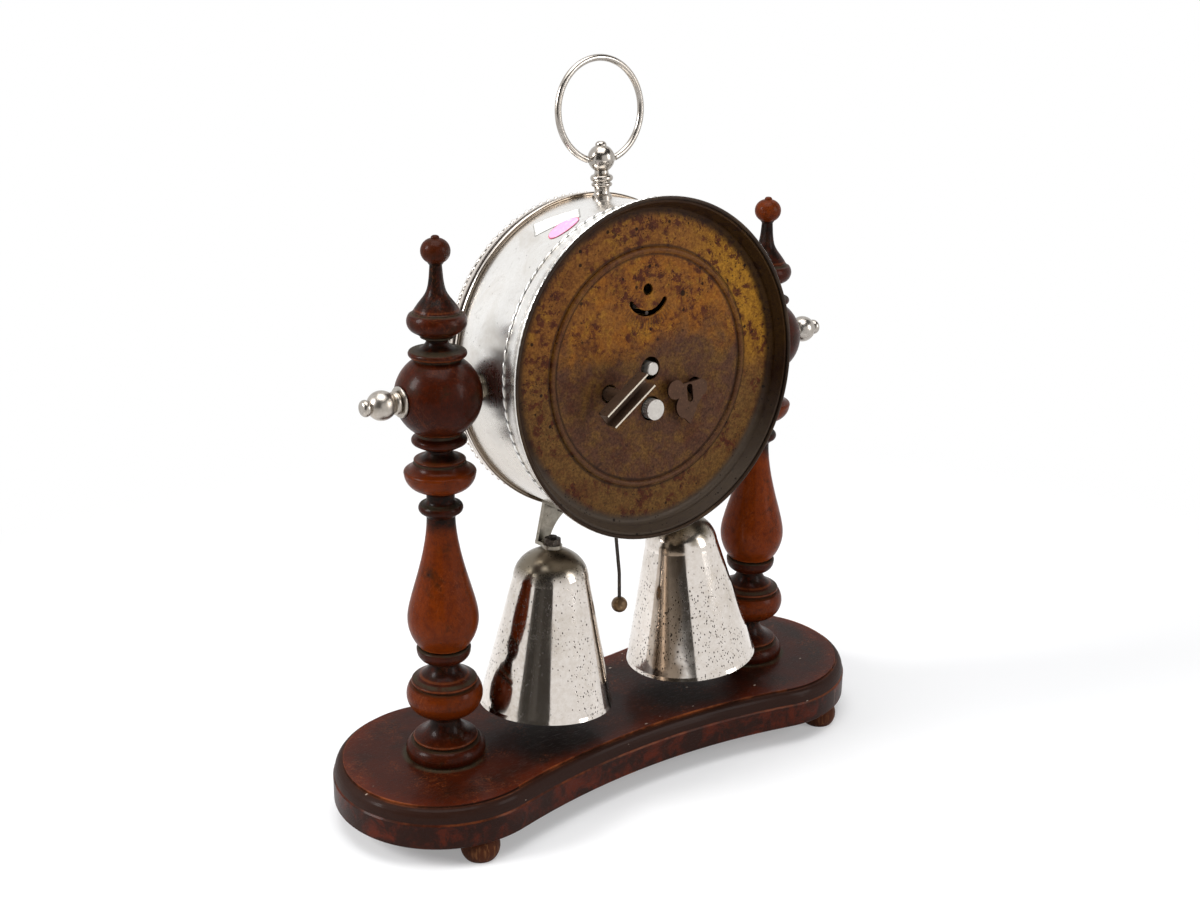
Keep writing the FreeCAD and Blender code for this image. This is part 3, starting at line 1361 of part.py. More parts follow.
def make_minute_wheel():
    low, high = cannon_y - wheel_thickness, cannon_y
    wheel = toothed(minute_teeth, great_module, low, high, minute_axis, minute_phase)
    pinion = toothed(minute_pinion_teeth, hour_module, hour_y - wheel_thickness - 0.2, low,
                     minute_axis, minute_phase, leaf=True)
    return wheel.fuse(pinion).cut(rod(arbor_radius + pivot_play, hour_y - 9, front_plate_y,
                                      minute_axis))


def make_hour_wheel():
    """Hour wheel, its pipe over the cannon, and the wheel that drives the alarm's."""
    wheel = toothed(hour_teeth, hour_module, hour_y - wheel_thickness, hour_y, centre_axis,
                    hour_phase)
    drive = toothed(release_teeth, great_module, release_y - wheel_thickness, release_y,
                    centre_axis, hour_phase)
    pipe = rod(hour_pipe_radius, hour_hand_y, hour_y)
    return wheel.fuse([drive, pipe]).cut(rod(cannon_radius + pivot_play, minute_hand_y, 0))


def make_release_wheel():
    wheel = toothed(release_teeth, great_module, release_y - wheel_thickness, release_y,
                    set_axis, release_phase)
    wheel = wheel.fuse(rod(2.6, release_y, release_y + 1.2, set_axis))
    return wheel.cut(rod(set_arbor_radius + pivot_play, release_y - 5, release_y + 5, set_axis))


def make_hand(length, bore, y_low, place, clockwise, width, tail):
    """Spade hand: eye, tapering stem, leaf with two lobes, and a point."""
    leaf = length * 0.72
    stem = [(-0.24 * width, 0), (-0.14 * width, leaf), (0, length), (0.14 * width, leaf),
            (0.24 * width, 0)]
    if tail:
        stem += [(0.3 * width, -tail), (-0.3 * width, -tail)]
    hand = prism(stem, 0, hand_thickness)
    spade = prism([(-0.5 * width, leaf), (-0.36 * width, leaf + 0.6 * width), (0, length),
                   (0.36 * width, leaf + 0.6 * width), (0.5 * width, leaf),
                   (0, leaf - 0.5 * width)], 0, hand_thickness)
    lobes = [rod(0.28 * width, 0, hand_thickness, (sx * 0.36 * width, leaf)) for sx in (-1, 1)]
    hand = hand.fuse([spade] + lobes + [rod(bore + 1.3, 0, hand_thickness)])
    hand = hand.cut(rod(bore + seat_gap / 2, -1, hand_thickness + 1))
    return moved(turned(hand, V(0, 0, 0), V(0, 1, 0), clockwise), place[0], y_low, place[1])


def make_set_arbor():
    """Alarm-setting arbor from the small hand to the knob."""
    arbor = rod(set_arbor_radius, alarm_hand_y - hand_thickness - 0.1, back_outer + 8, set_axis)
    shoulders = [rod(2.4, front_inner + end_shake, front_inner + 1.6, set_axis),
                 rod(2.4, back_plate_y - 1.6, back_plate_y - end_shake, set_axis)]
    return arbor.fuse(shoulders)


def make_set_knob():
    """Round knob on the alarm-setting arbor, fluted round its side."""
    low = back_outer + 6
    knob = rod(alarm_knob_radius, low, alarm_knob_end, set_axis)
    flutes = [rod(0.35, low - 1, alarm_knob_end - 0.7,
                  polar(alarm_knob_radius + 0.1, 15 * i, set_axis)) for i in range(24)]
    knob = knob.cut(Part.makeCompound(flutes))
    return knob.cut(rod(set_arbor_radius + seat_gap, low - 1, back_outer + 8 + seat_gap, set_axis))


# ---- the whole clock
def standing_pieces():
    return {
        "base_board": make_board(), "feet": make_feet(),
        "column_left": make_column(1), "column_right": make_column(-1),
        "trunnion_knob_left": make_knob(1), "trunnion_knob_right": make_knob(-1),
        "trunnion_pin_left": make_pin(1), "trunnion_pin_right": make_pin(-1)}


def hung_pieces():
    """Everything that tilts with the drum, in the drum's own frame."""
    return {
        "drum_case": make_case(), "trunnion_bosses": make_bosses(), "rope_line": make_rope(),
        "front_bezel": make_bezel(), "pearl_ring": make_pearls(), "dial_glass": make_glass(),
        "dial": make_dial(), "back_cover": make_cover(), "pendant": make_pendant(),
        "ring_handle": make_ring(),
        "bell_left": make_bell(bell_left_x, bell_left_mouth),
        "bell_right": make_bell(bell_right_x, bell_right_mouth),
        "bell_bracket_left": make_bracket(bell_left_x),
        "bell_bracket_right": make_bracket(bell_right_x),
        "bracket_screws": make_bracket_screws(), "bell_screws": make_bell_screws(),
        "bell_nuts": make_bell_nuts(), "hammer": make_hammer(), "hammer_ball": make_hammer_ball(),
        "front_plate": make_front_plate(), "back_plate": make_back_plate(),
        "pillars": make_pillars(), "pillar_nuts": make_pillar_nuts(),
        "movement_holders": make_holders(),
        "time_mainspring": make_mainspring(time_arbor, time_spring_radius,
                                           time_pillar_angle),
        "alarm_mainspring": make_mainspring(alarm_arbor, alarm_spring_radius,
                                            alarm_pillar_angle),
        "hairspring": make_hairspring(),
        "time_great_wheel": make_great_wheel(great_teeth, time_arbor, great_phase),
        "alarm_great_wheel": make_great_wheel(alarm_great_teeth, alarm_arbor, alarm_great_phase),
        "time_click": make_click(time_arbor), "alarm_click": make_click(alarm_arbor),
        "time_winding_arbor": make_winding_arbor(time_arbor, time_key_web - 0.4),
        "alarm_winding_arbor": make_winding_arbor(alarm_arbor, alarm_key_leaf - 0.8),
        "time_key": make_time_key(), "alarm_key": make_alarm_key(),
        "centre_wheel": make_centre_wheel(), "third_wheel": make_third_wheel(),
        "fourth_wheel": make_fourth_wheel(), "escape_wheel": make_escape_wheel(),
        "pallet_lever": make_pallet_lever(), "balance_wheel": make_balance(),
        "regulator_lever": make_index(), "striker_wheel": make_striker_wheel(),
        "centre_arbor": make_centre_arbor(), "minute_wheel": make_minute_wheel(),
        "hour_wheel": make_hour_wheel(), "release_wheel": make_release_wheel(),
        "minute_hand": make_hand(minute_hand_length, cannon_radius, minute_hand_y, centre_axis,
                                 minute_hand_angle, 6.0, 9.0),
        "hour_hand": make_hand(hour_hand_length, hour_pipe_radius, hour_hand_y, centre_axis,
                               hour_hand_angle, 7.5, 0),
        "alarm_hand": make_hand(alarm_hand_length, set_arbor_radius, alarm_hand_y, set_axis,
                                alarm_hand_angle, 2.2, 3.0),
        "alarm_set_arbor": make_set_arbor(), "alarm_set_knob": make_set_knob()}


def main():
    os.makedirs("parts", exist_ok=True)
    pieces = standing_pieces()
    for name, shape in hung_pieces().items():
        pieces[name] = hang(shape)
    for name, shape in pieces.items():
        shape.exportStep("parts/" + name + ".step")
        print(name, len(shape.Solids), "%.1f" % shape.Volume, shape.isValid())


main()
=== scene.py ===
import json
import math

import bpy
import numpy as np
from mathutils import Matrix, Vector

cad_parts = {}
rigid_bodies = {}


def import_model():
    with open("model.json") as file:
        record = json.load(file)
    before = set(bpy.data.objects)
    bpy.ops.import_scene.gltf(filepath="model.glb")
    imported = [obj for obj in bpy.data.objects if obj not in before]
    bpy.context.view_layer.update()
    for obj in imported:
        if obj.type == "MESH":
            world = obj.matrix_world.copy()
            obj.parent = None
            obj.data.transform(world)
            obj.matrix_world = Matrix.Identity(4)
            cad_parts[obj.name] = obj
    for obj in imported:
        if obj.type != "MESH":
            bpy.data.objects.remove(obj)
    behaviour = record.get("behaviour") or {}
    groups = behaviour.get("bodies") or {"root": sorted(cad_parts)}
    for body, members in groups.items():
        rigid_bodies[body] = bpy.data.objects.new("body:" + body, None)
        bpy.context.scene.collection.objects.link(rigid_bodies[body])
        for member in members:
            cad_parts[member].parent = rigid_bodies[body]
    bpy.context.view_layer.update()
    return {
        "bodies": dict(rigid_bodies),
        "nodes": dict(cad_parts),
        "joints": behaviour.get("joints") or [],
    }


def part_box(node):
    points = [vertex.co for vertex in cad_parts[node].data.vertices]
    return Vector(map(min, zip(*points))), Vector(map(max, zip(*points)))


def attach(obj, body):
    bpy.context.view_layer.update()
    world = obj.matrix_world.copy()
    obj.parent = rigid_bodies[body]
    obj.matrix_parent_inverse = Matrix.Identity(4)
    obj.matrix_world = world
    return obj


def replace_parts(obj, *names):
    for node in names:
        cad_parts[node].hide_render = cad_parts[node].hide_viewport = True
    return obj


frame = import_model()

# a round alarm clock hung between two turned columns, dressed over its frame; metres
mm = 0.001
nodes = frame["nodes"]
for spare in list(bpy.data.objects):
    if spare.name not in nodes and spare not in frame["bodies"].values():
        bpy.data.objects.remove(spare)
print("frame loaded,", len(nodes), "nodes")

# the drum leans by leanAngle about the trunnions, and its middle sits drumLift over them
trunnion = next(j for j in frame["joints"] if j["name"] == "drum_tilt")["pos_m"]
spinAxis = next(j for j in frame["joints"] if j["name"] == "hands_set")["axis"]
leanAngle = math.atan2(spinAxis[2], spinAxis[1])
lean = np.array(Matrix.Rotation(leanAngle, 3, "X"))
drumLift = 2.5 * mm
# places on the stand, in millimetres
columnOut = (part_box("column_left")[0][0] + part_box("column_left")[1][0]) / 2 / mm
boardFoot, boardTop = [corner[2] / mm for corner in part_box("base_board")]


def fromDrum(points):
    # from the drum's own frame, in millimetres, to the clock's frame in metres
    return (np.asarray(points, float) * mm + [0, 0, drumLift]) @ lean.T + [0, 0, trunnion[2]]


def intoDrum(point):
    # the way back, from the clock's frame to the drum's
    return ((np.asarray(point, float) - [0, 0, trunnion[2]]) @ lean - [0, 0, drumLift]) / mm


# small tools for shader nodes
class Field:
    # a value that changes over a surface: a node's output that can be reckoned with like a number
    def __init__(self, socket):
        self.socket = socket

    def __add__(self, other):
        return calc("ADD", self, other)

    def __radd__(self, other):
        return calc("ADD", other, self)

    def __sub__(self, other):
        return calc("SUBTRACT", self, other)

    def __rsub__(self, other):
        return calc("SUBTRACT", other, self)

    def __mul__(self, other):
        return calc("MULTIPLY", self, other)

    def __abs__(self):
        return calc("ABSOLUTE", self)


def feed(socket, value):
    # a field is linked to the socket, anything else becomes its own value
    if isinstance(value, Field):
        socket.id_data.links.new(value.socket, socket)
    elif socket.type == "RGBA":
        socket.default_value = (*value, 1.0)
    else:
        socket.default_value = value


def feedAll(node, values):
    for key, value in values.items():
        feed(node.inputs[key], value)


def addNode(kind, inputs, tree=None, **settings):
    # the node goes where its inputs come from, unless a tree is named
    fields = [value for value in inputs.values() if isinstance(value, Field)]
    node = (tree or fields[0].socket.id_data).nodes.new(kind)
    for name, value in settings.items():
        setattr(node, name, value)
    feedAll(node, inputs)
    return node


def outputsOf(node):
    return {socket.name: Field(socket) for socket in node.outputs}


def calc(operation, *values, clamp=False):
    node = addNode("ShaderNodeMath", dict(enumerate(values)), operation=operation, use_clamp=clamp)
    return Field(node.outputs[0])


def vectorCalc(operation, *values):
    node = addNode("ShaderNodeVectorMath", dict(enumerate(values)), operation=operation)
    return Field(node.outputs["Value" if operation == "LENGTH" else "Vector"])


def smooth(value, low, high, start=0.0, end=1.0):
    # a soft step from start to end while the value goes from low to high
    inputs = {0: value, 1: low, 2: high, 3: start, 4: end}
    return Field(addNode("ShaderNodeMapRange", inputs, interpolation_type="SMOOTHSTEP").outputs[0])


def blend(share, first, second, mode="MIX"):
    inputs = {0: share, 6: first, 7: second}
    return Field(addNode("ShaderNodeMix", inputs, data_type="RGBA", blend_type=mode).outputs[2])


def noise(place, scale, detail=4.0, roughness=0.55, distortion=0.0):
    inputs = {"Vector": place, "Scale": scale, "Detail": detail, "Roughness": roughness,
              "Distortion": distortion}
    return Field(addNode("ShaderNodeTexNoise", inputs).outputs[0])


def patches(place, pattern):
    # a pattern is a noise, as (scale, detail, roughness, distortion), and the step that it goes through
    texture, step = pattern
    return smooth(noise(place, *texture), *step)


def split(vector):
    return [Field(socket) for socket in addNode("ShaderNodeSeparateXYZ", {0: vector}).outputs]


def together(x, y, z):
    return Field(addNode("ShaderNodeCombineXYZ", {0: x, 1: y, 2: z}).outputs[0])


def lengthOf(x, y, z):
    return vectorCalc("LENGTH", together(x, y, z))


def stretched(place, scale, rotation=None):
    if rotation is None:
        return vectorCalc("MULTIPLY", place, scale)
    inputs = {"Vector": place, "Rotation": rotation, "Scale": scale}
    return Field(addNode("ShaderNodeMapping", inputs).outputs[0])


def anyOf(*masks):
    total = masks[0]
    for mask in masks[1:]:
        total = calc("MAXIMUM", total, mask)
    return total


def stepAt(value, place, step):
    # a soft step beside a place: the step is where it begins and ends, counted from there
    return smooth(value, place + step[0], place + step[1])


def near(value, middle, half, core=0.3):
    # one where a value lies within core * half of the middle, none beyond half
    return smooth(abs(value - middle), half, half * core)


def layered(colour, book, **masks):
    # tints laid over a colour, in order: the book gives each one's colour and strength by name
    for name, mask in masks.items():
        tint, strength = book[name]
        colour = blend(mask * strength, colour, tint)
    return colour


def makeGroup(name, build, **starts):
    # build gets a field for each input and returns {output: field}; an input's start is its first
    # value, or None for a vector, and an output named place is a vector too
    tree = bpy.data.node_groups.new(name, "ShaderNodeTree")
    for label, start in starts.items():
        kind = "NodeSocketVector" if start is None else "NodeSocketFloat"
        socket = tree.interface.new_socket(label, in_out="INPUT", socket_type=kind)
        if start is not None:
            socket.default_value = start
    entry = tree.nodes.new("NodeGroupInput")
    results = build(**{label: Field(entry.outputs[label]) for label in starts})
    for label in results:
        kind = "NodeSocketVector" if label == "place" else "NodeSocketFloat"
        tree.interface.new_socket(label, in_out="OUTPUT", socket_type=kind)
    feedAll(tree.nodes.new("NodeGroupOutput"), results)
    return tree


# effects that several materials share, worked out in millimetres
def inMillimetres(place):
    return {"place": stretched(place, [1 / mm] * 3)}


def inDrum(place):
    # the same point in the leaning drum's own frame
    fromAxis = vectorCalc("SUBTRACT", place, (0, 0, trunnion[2]))
    turned = addNode("ShaderNodeVectorRotate", {"Vector": fromAxis, "Angle": -leanAngle},
                     rotation_type="X_AXIS")
    return {"place": stretched(vectorCalc("SUBTRACT", Field(turned.outputs[0]), (0, 0, drumLift)),
                               [1 / mm] * 3)}


pitting = {"cluster": ((0.075, 3.0), (0.42, 0.60, 0.10, 1.0)), "smallest": 0.35, "rim": (2.0, 2.0),
           "rimWander": 0.10, "shrink": 0.02, "rimStep": (-0.02, 0.05)}
blotch = {"detail": 6.0, "roughness": 0.62, "distortion": 0.6}
scratch = {"ways": (((0.3, 0.5, 0.9), (1.0, 1.0, 0.035)), ((1.2, 0.2, -0.6), (1.0, 0.04, 1.0))),
           "detail": 2.0, "thin": (0.012, 0.002), "where": ((0.07, 3.0), (0.45, 0.65))}
fibre = {"drawn": (1.0, 1.0, 0.07), "bands": (0.22, 4.0, 0.6, 0.8), "fibres": (2.2, 3.0, 0.6),
         "poresDrawn": (1.0, 1.0, 0.1), "pores": ((3.6, 2.0), (0.60, 0.68)), "bandShare": 0.75,
         "fibreHeight": 0.4}


def pits(place, spacing, amount, share):
    # round specks: a share of a Voronoi's cells holds one each, of its own size, more in clusters
    p = vectorCalc("DIVIDE", place, together(spacing, spacing, spacing))
    cells = outputsOf(addNode("ShaderNodeTexVoronoi", {"Vector": p, "Scale": 1.0}))
    chance, lot = split(cells["Color"])[:2]
    present = calc("GREATER_THAN", chance, 1.0 - share * patches(place, pitting["cluster"]))
    size = present * amount * (lot * (1 - pitting["smallest"]) + pitting["smallest"])
    ragged = noise(p, *pitting["rim"]) * pitting["rimWander"] + pitting["shrink"]
    return {"mask": smooth(size - (cells["Distance"] + ragged), *pitting["rimStep"])}


def blotches(place, scale, low, high):
    return {"mask": smooth(noise(place, scale, **blotch), low, high)}


def scratches(place, scale):
    # thin lines where a stretched noise crosses its middle, in two directions
    lines = []
    for turn, stretch in scratch["ways"]:
        p = stretched(stretched(place, (1.0, 1.0, 1.0), turn), stretch)
        lines.append(smooth(abs(noise(p, scale, scratch["detail"]) - 0.5), *scratch["thin"]))
    return {"mask": anyOf(*lines) * patches(place, scratch["where"])}


def woodGrain(place):
    # wood along local Z: broad bands, fine fibres and short dark pores
    drawn = stretched(place, fibre["drawn"])
    bands, fibres = noise(drawn, *fibre["bands"]), noise(drawn, *fibre["fibres"])
    pores = patches(stretched(place, fibre["poresDrawn"]), fibre["pores"])
    return {"tone": bands * fibre["bandShare"] + fibres * (1 - fibre["bandShare"]), "pores": pores,
            "height": fibres * fibre["fibreHeight"] - pores}


effects = {
    "millimetres": makeGroup("millimetres", inMillimetres, place=None),
    "drumPlace": makeGroup("drumPlace", inDrum, place=None),
    "pits": makeGroup("corrosionPits", pits, place=None, spacing=1.0, amount=0.5, share=0.3),
    "blotches": makeGroup("stainBlotches", blotches, place=None, scale=0.1, low=0.5, high=0.7),
    "scratches": makeGroup("fineScratches", scratches, place=None, scale=1.0),
    "grain": makeGroup("woodGrain", woodGrain, place=None)}
print("shared effects built,", len(effects))


def use(effect, place, **inputs):
    # one output is returned as it is, several as a list
    node = addNode("ShaderNodeGroup", {"place": place, **inputs}, node_tree=effects[effect])
    fields = [Field(socket) for socket in node.outputs]
    return fields if len(fields) > 1 else fields[0]


def newMaterial(name):
    material = bpy.data.materials.new(name)
    material.use_nodes = True
    point = outputsOf(addNode("ShaderNodeTexCoord", {}, material.node_tree))["Object"]
    return material, material.node_tree.nodes["Principled BSDF"], point


def startMaterial(name, place="millimetres"):
    # a material with its Principled shader and the surface point in millimetres
    material, shader, point = newMaterial(name)
    return material, shader, use(place, point)


def finishMaterial(material, shader, height, depth, values):
    # the shader's own values or fields, and a bump of the given depth
    feedAll(shader, values)
    bump = addNode("ShaderNodeBump", {"Height": height, "Distance": depth, "Strength": 1.0})
    feed(shader.inputs["Normal"], Field(bump.outputs[0]))
    return material


# stained wood
darkWood, wornWood, paleWood = (0.0085, 0.0030, 0.0014), (0.27, 0.070, 0.020), (0.50, 0.40, 0.32)
greyDirt = (0.040, 0.036, 0.022)
wood = {
    "body": (0.040, 0.0062, 0.0013), "grainDepth": 0.05 * mm, "dentDepth": 3.0, "lineScale": 0.5,
    "polish": {"Specular IOR Level": 0.05, "Coat Weight": 0.06, "Coat Roughness": 0.12},
    "roughness": {"plain": 0.27, "cloudy": 0.14, "necks": 0.08, "dirt": 0.25},
    "cloudy": (0.09, 4.0, 0.6), "stained": ((0.34, 5.0, 0.68), (0.42, 0.70)),
    "sooty": ((0.12, 5.0, 0.7, 0.4), (0.50, 0.74)), "patchy": ((0.2, 3.0, 0.7), (0.30, 0.55, 0.35, 1.0)),
    "cloth": (0.75, 4.0, 0.7), "clothTones": ((0.05, 0.07, 0.03), (0.95, 0.92, 0.90)),
    "clothShare": 0.45, "toneShare": 0.55, "dents": {"spacing": 4.2, "amount": 0.22, "share": 0.3},
    "tints": {
        "warm": ((0.182, 0.0295, 0.0010), 1.0), "stain": ((0.074, 0.0095, 0.0012), 0.55),
        "soot": ((0.022, 0.0105, 0.0032), 0.75), "pores": (darkWood, 0.45), "dents": (darkWood, 0.7),
        "dirt": (greyDirt, 0.65), "lips": (wornWood, 0.30), "lines": (wornWood, 0.25)}}
turning = {     # heights over the board's top; a pair is where a soft step begins and ends
    "vaseFoot": (47.6, 48.1), "vaseTop": (100.5, 94.5), "vaseWander": 9.0, "tip": (200.0, 201.0),
    "swelling": (6.5, 12.5), "wobble": 3.0, "footDirt": (1.1, 0.3), "bulgeCore": 0.35,
    "bulges": ((26.5, 7.0, 0.62), (118.0, 6.0, 0.70)),      # middle, half its height, warmth
    "grooves": (6.6, 31.6, 33.8, 47.4, 107.4, 124.4, 135.5, 164.6, 168.0, 172.9, 182.0),
    "grooveHalf": 0.65, "lipAbove": 1.25, "lipHalf": 0.45, "toolMarks": 9.0, "markHeight": 0.12}


def turnedWood(name, side, warmth, tipWarmth):
    # dirt gathers in necks and grooves, the swellings have been rubbed to a warmer brown
    material, shader, p = startMaterial(name)
    x, y, z = split(p)
    high = z - boardTop
    tone, pores, height = use("grain", p)
    cloudy = noise(p, *wood["cloudy"])
    swell = smooth(lengthOf(x - side * columnOut, y, 0.0) + cloudy * turning["wobble"],
                   *turning["swelling"])
    wander = high + (cloudy - 0.5) * turning["vaseWander"]
    vase = smooth(high, *turning["vaseFoot"]) * smooth(wander, *turning["vaseTop"]) * warmth
    bulges = [near(high, middle, half, turning["bulgeCore"]) * swell * share
              for middle, half, share in turning["bulges"]]
    tip = smooth(high, *turning["tip"]) * tipWarmth
    colour = layered(blend(swell, darkWood, wood["body"]), wood["tints"], warm=anyOf(vase, tip, *bulges),
                     stain=patches(p, wood["stained"]), soot=patches(p, wood["sooty"]))
    cloth = blend(noise(p, *wood["cloth"]), *wood["clothTones"])
    colour = blend(wood["clothShare"], colour, cloth, "SOFT_LIGHT")
    colour = blend(tone * wood["toneShare"], colour, darkWood, "SOFT_LIGHT")
    dents = use("pits", p, **wood["dents"])
    patchy = patches(p, wood["patchy"])
    grooves = [near(high, place, turning["grooveHalf"]) for place in turning["grooves"]]
    dirt = anyOf(anyOf(*grooves), smooth(high, *turning["footDirt"])) * patchy
    lips = anyOf(*[near(high, place + turning["lipAbove"], turning["lipHalf"])
                   for place in turning["grooves"]])
    colour = layered(colour, wood["tints"], pores=pores, dents=dents, dirt=dirt,
                     lips=lips * swell * patchy, lines=use("scratches", p, scale=wood["lineScale"]))
    rough = wood["roughness"]
    roughness = (rough["plain"] + cloudy * rough["cloudy"] + (1.0 - swell) * rough["necks"]
                 + dirt * rough["dirt"])
    marks = calc("SINE", high * turning["toolMarks"]) * turning["markHeight"]
    return finishMaterial(material, shader, height - dents * wood["dentDepth"] + marks - dirt,
                          wood["grainDepth"],
                          {"Base Color": colour, "Roughness": roughness, **wood["polish"]})


redBoard, shadedBoard = (0.092, 0.0125, 0.0026), (0.019, 0.0060, 0.0030)
board = {
    "top": (0.044, 0.0070, 0.0018), "side": (0.024, 0.0062, 0.0028),
    "lobe": 45.5, "waist": 34.5, "lobeOut": 80.0,       # its outline: radius, half its depth, middle
    "arrisInset": 4.1, "mouldingHeight": 6.2, "footRadius": 16.0, "toneShare": 0.5,
    # soft steps: where they begin and end, from the top, the moulding's foot, the board's foot, the
    # arris's inset and the column's foot
    "topStep": (-0.35, -0.1), "upperArris": (-1.0, -0.5), "mouldingStep": (-0.2, 0.5),
    "lowerArris": ((-0.8, -0.3), (0.3, 0.0)), "footArris": (1.2, 0.4), "insideArris": (0.7, 0.2),
    "dustStep": (2.4, 0.6), "redStep": (21.0, 11.0), "redWander": 16.0,
    "lowerShare": 0.45, "footShare": 0.6,
    "scrape": {"place": (-97.5, 39.8), "across": (1.62, 0.9), "foot": (10.0, 12.0),
               "head": (19.0, 18.0)},
    "specks": {"spacing": 2.6, "amount": 0.26, "share": 0.12}, "speckStretch": (0.6, 1.0, 1.0),
    "polish": {**wood["polish"], "Specular IOR Level": 0.06}, "lineScale": 0.35,
    "roughness": {"plain": 0.30, "cloudy": 0.18, "dusty": 0.14},
    "cloudy": (0.030, 4.0, 0.6), "lighter": (0.40, 0.58),
    "blotched": (0.10, 5.0, 0.7, 0.5), "redder": (0.45, 0.68),
    "patchy": ((0.12, 4.0, 0.7), (0.36, 0.60, 0.25, 1.0)), "rubbed": ((0.06, 3.0, 0.6), (0.52, 0.62)),
    "worn": ((0.045, 4.0, 0.7), (0.38, 0.60, 0.15, 1.0)),
    "tints": {
        "edgeRed": (redBoard, 0.75), "moulding": ((0.026, 0.0092, 0.0052), 1.0),
        "pores": (shadedBoard, 0.45), "arris": (wornWood, 0.85), "dust": (greyDirt, 0.75),
        "streak": (paleWood, 1.0), "lines": (wornWood, 0.40), "specks": (paleWood, 0.7)}}


def boardInset(x, y):
    # how far a point lies inside the board's outline: round lobes at the columns, and between them
    # hollow sides, whose arcs have their centres far out and touch the lobes
    lobe, waist, out = board["lobe"], board["waist"], board["lobeOut"]
    spare = lobe - waist
    far = waist + (out ** 2 - spare ** 2) / (2 * spare)
    x, y = abs(x), abs(y)
    lobeInset = lobe - lengthOf(x - out, y, 0.0)
    sideInset = lengthOf(x, y - far, 0.0) - (far - waist)
    beyond = calc("GREATER_THAN", (y - far) * out + x * far, 0.0)
    return Field(addNode("ShaderNodeMix", {0: beyond, 2: sideInset, 3: lobeInset}).outputs[0])


def boardWood(name):
    # flat top and side in waxed brown, a darker moulding between, orange wood at the worn arrises
    material, shader, p = startMaterial(name)
    x, y, z = split(p)
    tone, pores, height = use("grain", together(y, z, x))
    cloudy = noise(p, *board["cloudy"])
    blotched = noise(p, *board["blotched"])
    inset = boardInset(x, y)
    shoulder = boardTop - board["mouldingHeight"]
    onTop = stepAt(z, boardTop, board["topStep"])
    inMoulding = stepAt(z, shoulder, board["mouldingStep"]) * (1.0 - onTop)
    colour = layered(blend(smooth(cloudy, *board["lighter"]), shadedBoard, board["top"]),
                     board["tints"],
                     edgeRed=smooth(inset + blotched * board["redWander"], *board["redStep"]))
    side = blend(smooth(blotched, *board["redder"]), board["side"], redBoard)
    colour = layered(blend(1.0 - onTop, colour, side), board["tints"], moulding=inMoulding)
    colour = blend(tone * board["toneShare"], colour, shadedBoard, "SOFT_LIGHT")
    patchy = patches(p, board["patchy"])
    upper = stepAt(z, boardTop, board["upperArris"]) * stepAt(
        inset, board["arrisInset"], board["insideArris"])
    under, over = board["lowerArris"]
    lower = stepAt(z, shoulder, under) * stepAt(z, shoulder, over) * board["lowerShare"]
    foot = stepAt(z, boardFoot, board["footArris"]) * patches(p, board["rubbed"]) * board["footShare"]
    arris = anyOf(upper, lower, foot) * patchy * patches(p, board["worn"])
    # grey dust packed round the columns' feet
    fromColumn = lengthOf(abs(x) - columnOut, y, 0.0)
    dust = stepAt(fromColumn, board["footRadius"], board["dustStep"]) * onTop * patchy
    scrape = board["scrape"]
    away = lengthOf(x - scrape["place"][0], y - scrape["place"][1], 0.0)
    streak = (smooth(away, *scrape["across"]) * smooth(z, *scrape["foot"]) * patchy
              * smooth(z, *scrape["head"]))
    specks = use("pits", stretched(p, board["speckStretch"]), **board["specks"])
    colour = layered(colour, board["tints"], pores=pores, arris=arris, dust=dust, streak=streak,
                     lines=use("scratches", p, scale=board["lineScale"]) * onTop,
                     specks=specks * anyOf(onTop, inMoulding))
    rough = board["roughness"]
    roughness = rough["plain"] + cloudy * rough["cloudy"] + anyOf(inMoulding, dust) * rough["dusty"]
    return finishMaterial(material, shader, height - specks, wood["grainDepth"],
                          {"Base Color": colour, "Roughness": roughness, **board["polish"]})


feet = {"tones": ((0.022, 0.007, 0.0035), (0.085, 0.024, 0.009)), "streak": (0.19, 0.08, 0.03),
        "streakShare": 0.5, "stretch": (1.0, 1.0, 0.05), "streaky": ((1.1,), (0.52, 0.68)),
        "roughness": (0.2, 0.8, 0.40, 0.58)}


def footWood(name):
    # turned feet, their grain lines showing pale through a thin stain
    material, shader, p = startMaterial(name)
    tone, pores, height = use("grain", p)
    streaks = patches(stretched(p, feet["stretch"]), feet["streaky"])
    colour = blend(streaks * feet["streakShare"], blend(tone, *feet["tones"]), feet["streak"])
    return finishMaterial(material, shader, height, wood["grainDepth"], {
        "Base Color": colour, "Roughness": smooth(tone, *feet["roughness"]),
        "Specular IOR Level": wood["polish"]["Specular IOR Level"]})


columns = {"left": (1, 0.80, 0.25), "right": (-1, 1.0, 0.75)}     # side, warmth of vase and tip
for which, settings in columns.items():
    nodes["column_" + which].data.materials[0] = turnedWood("turnedWood_" + which, *settings)
nodes["base_board"].data.materials[0] = boardWood("boardWood")
nodes["feet"].data.materials[0] = footWood("footWood")
print("wood dressed")

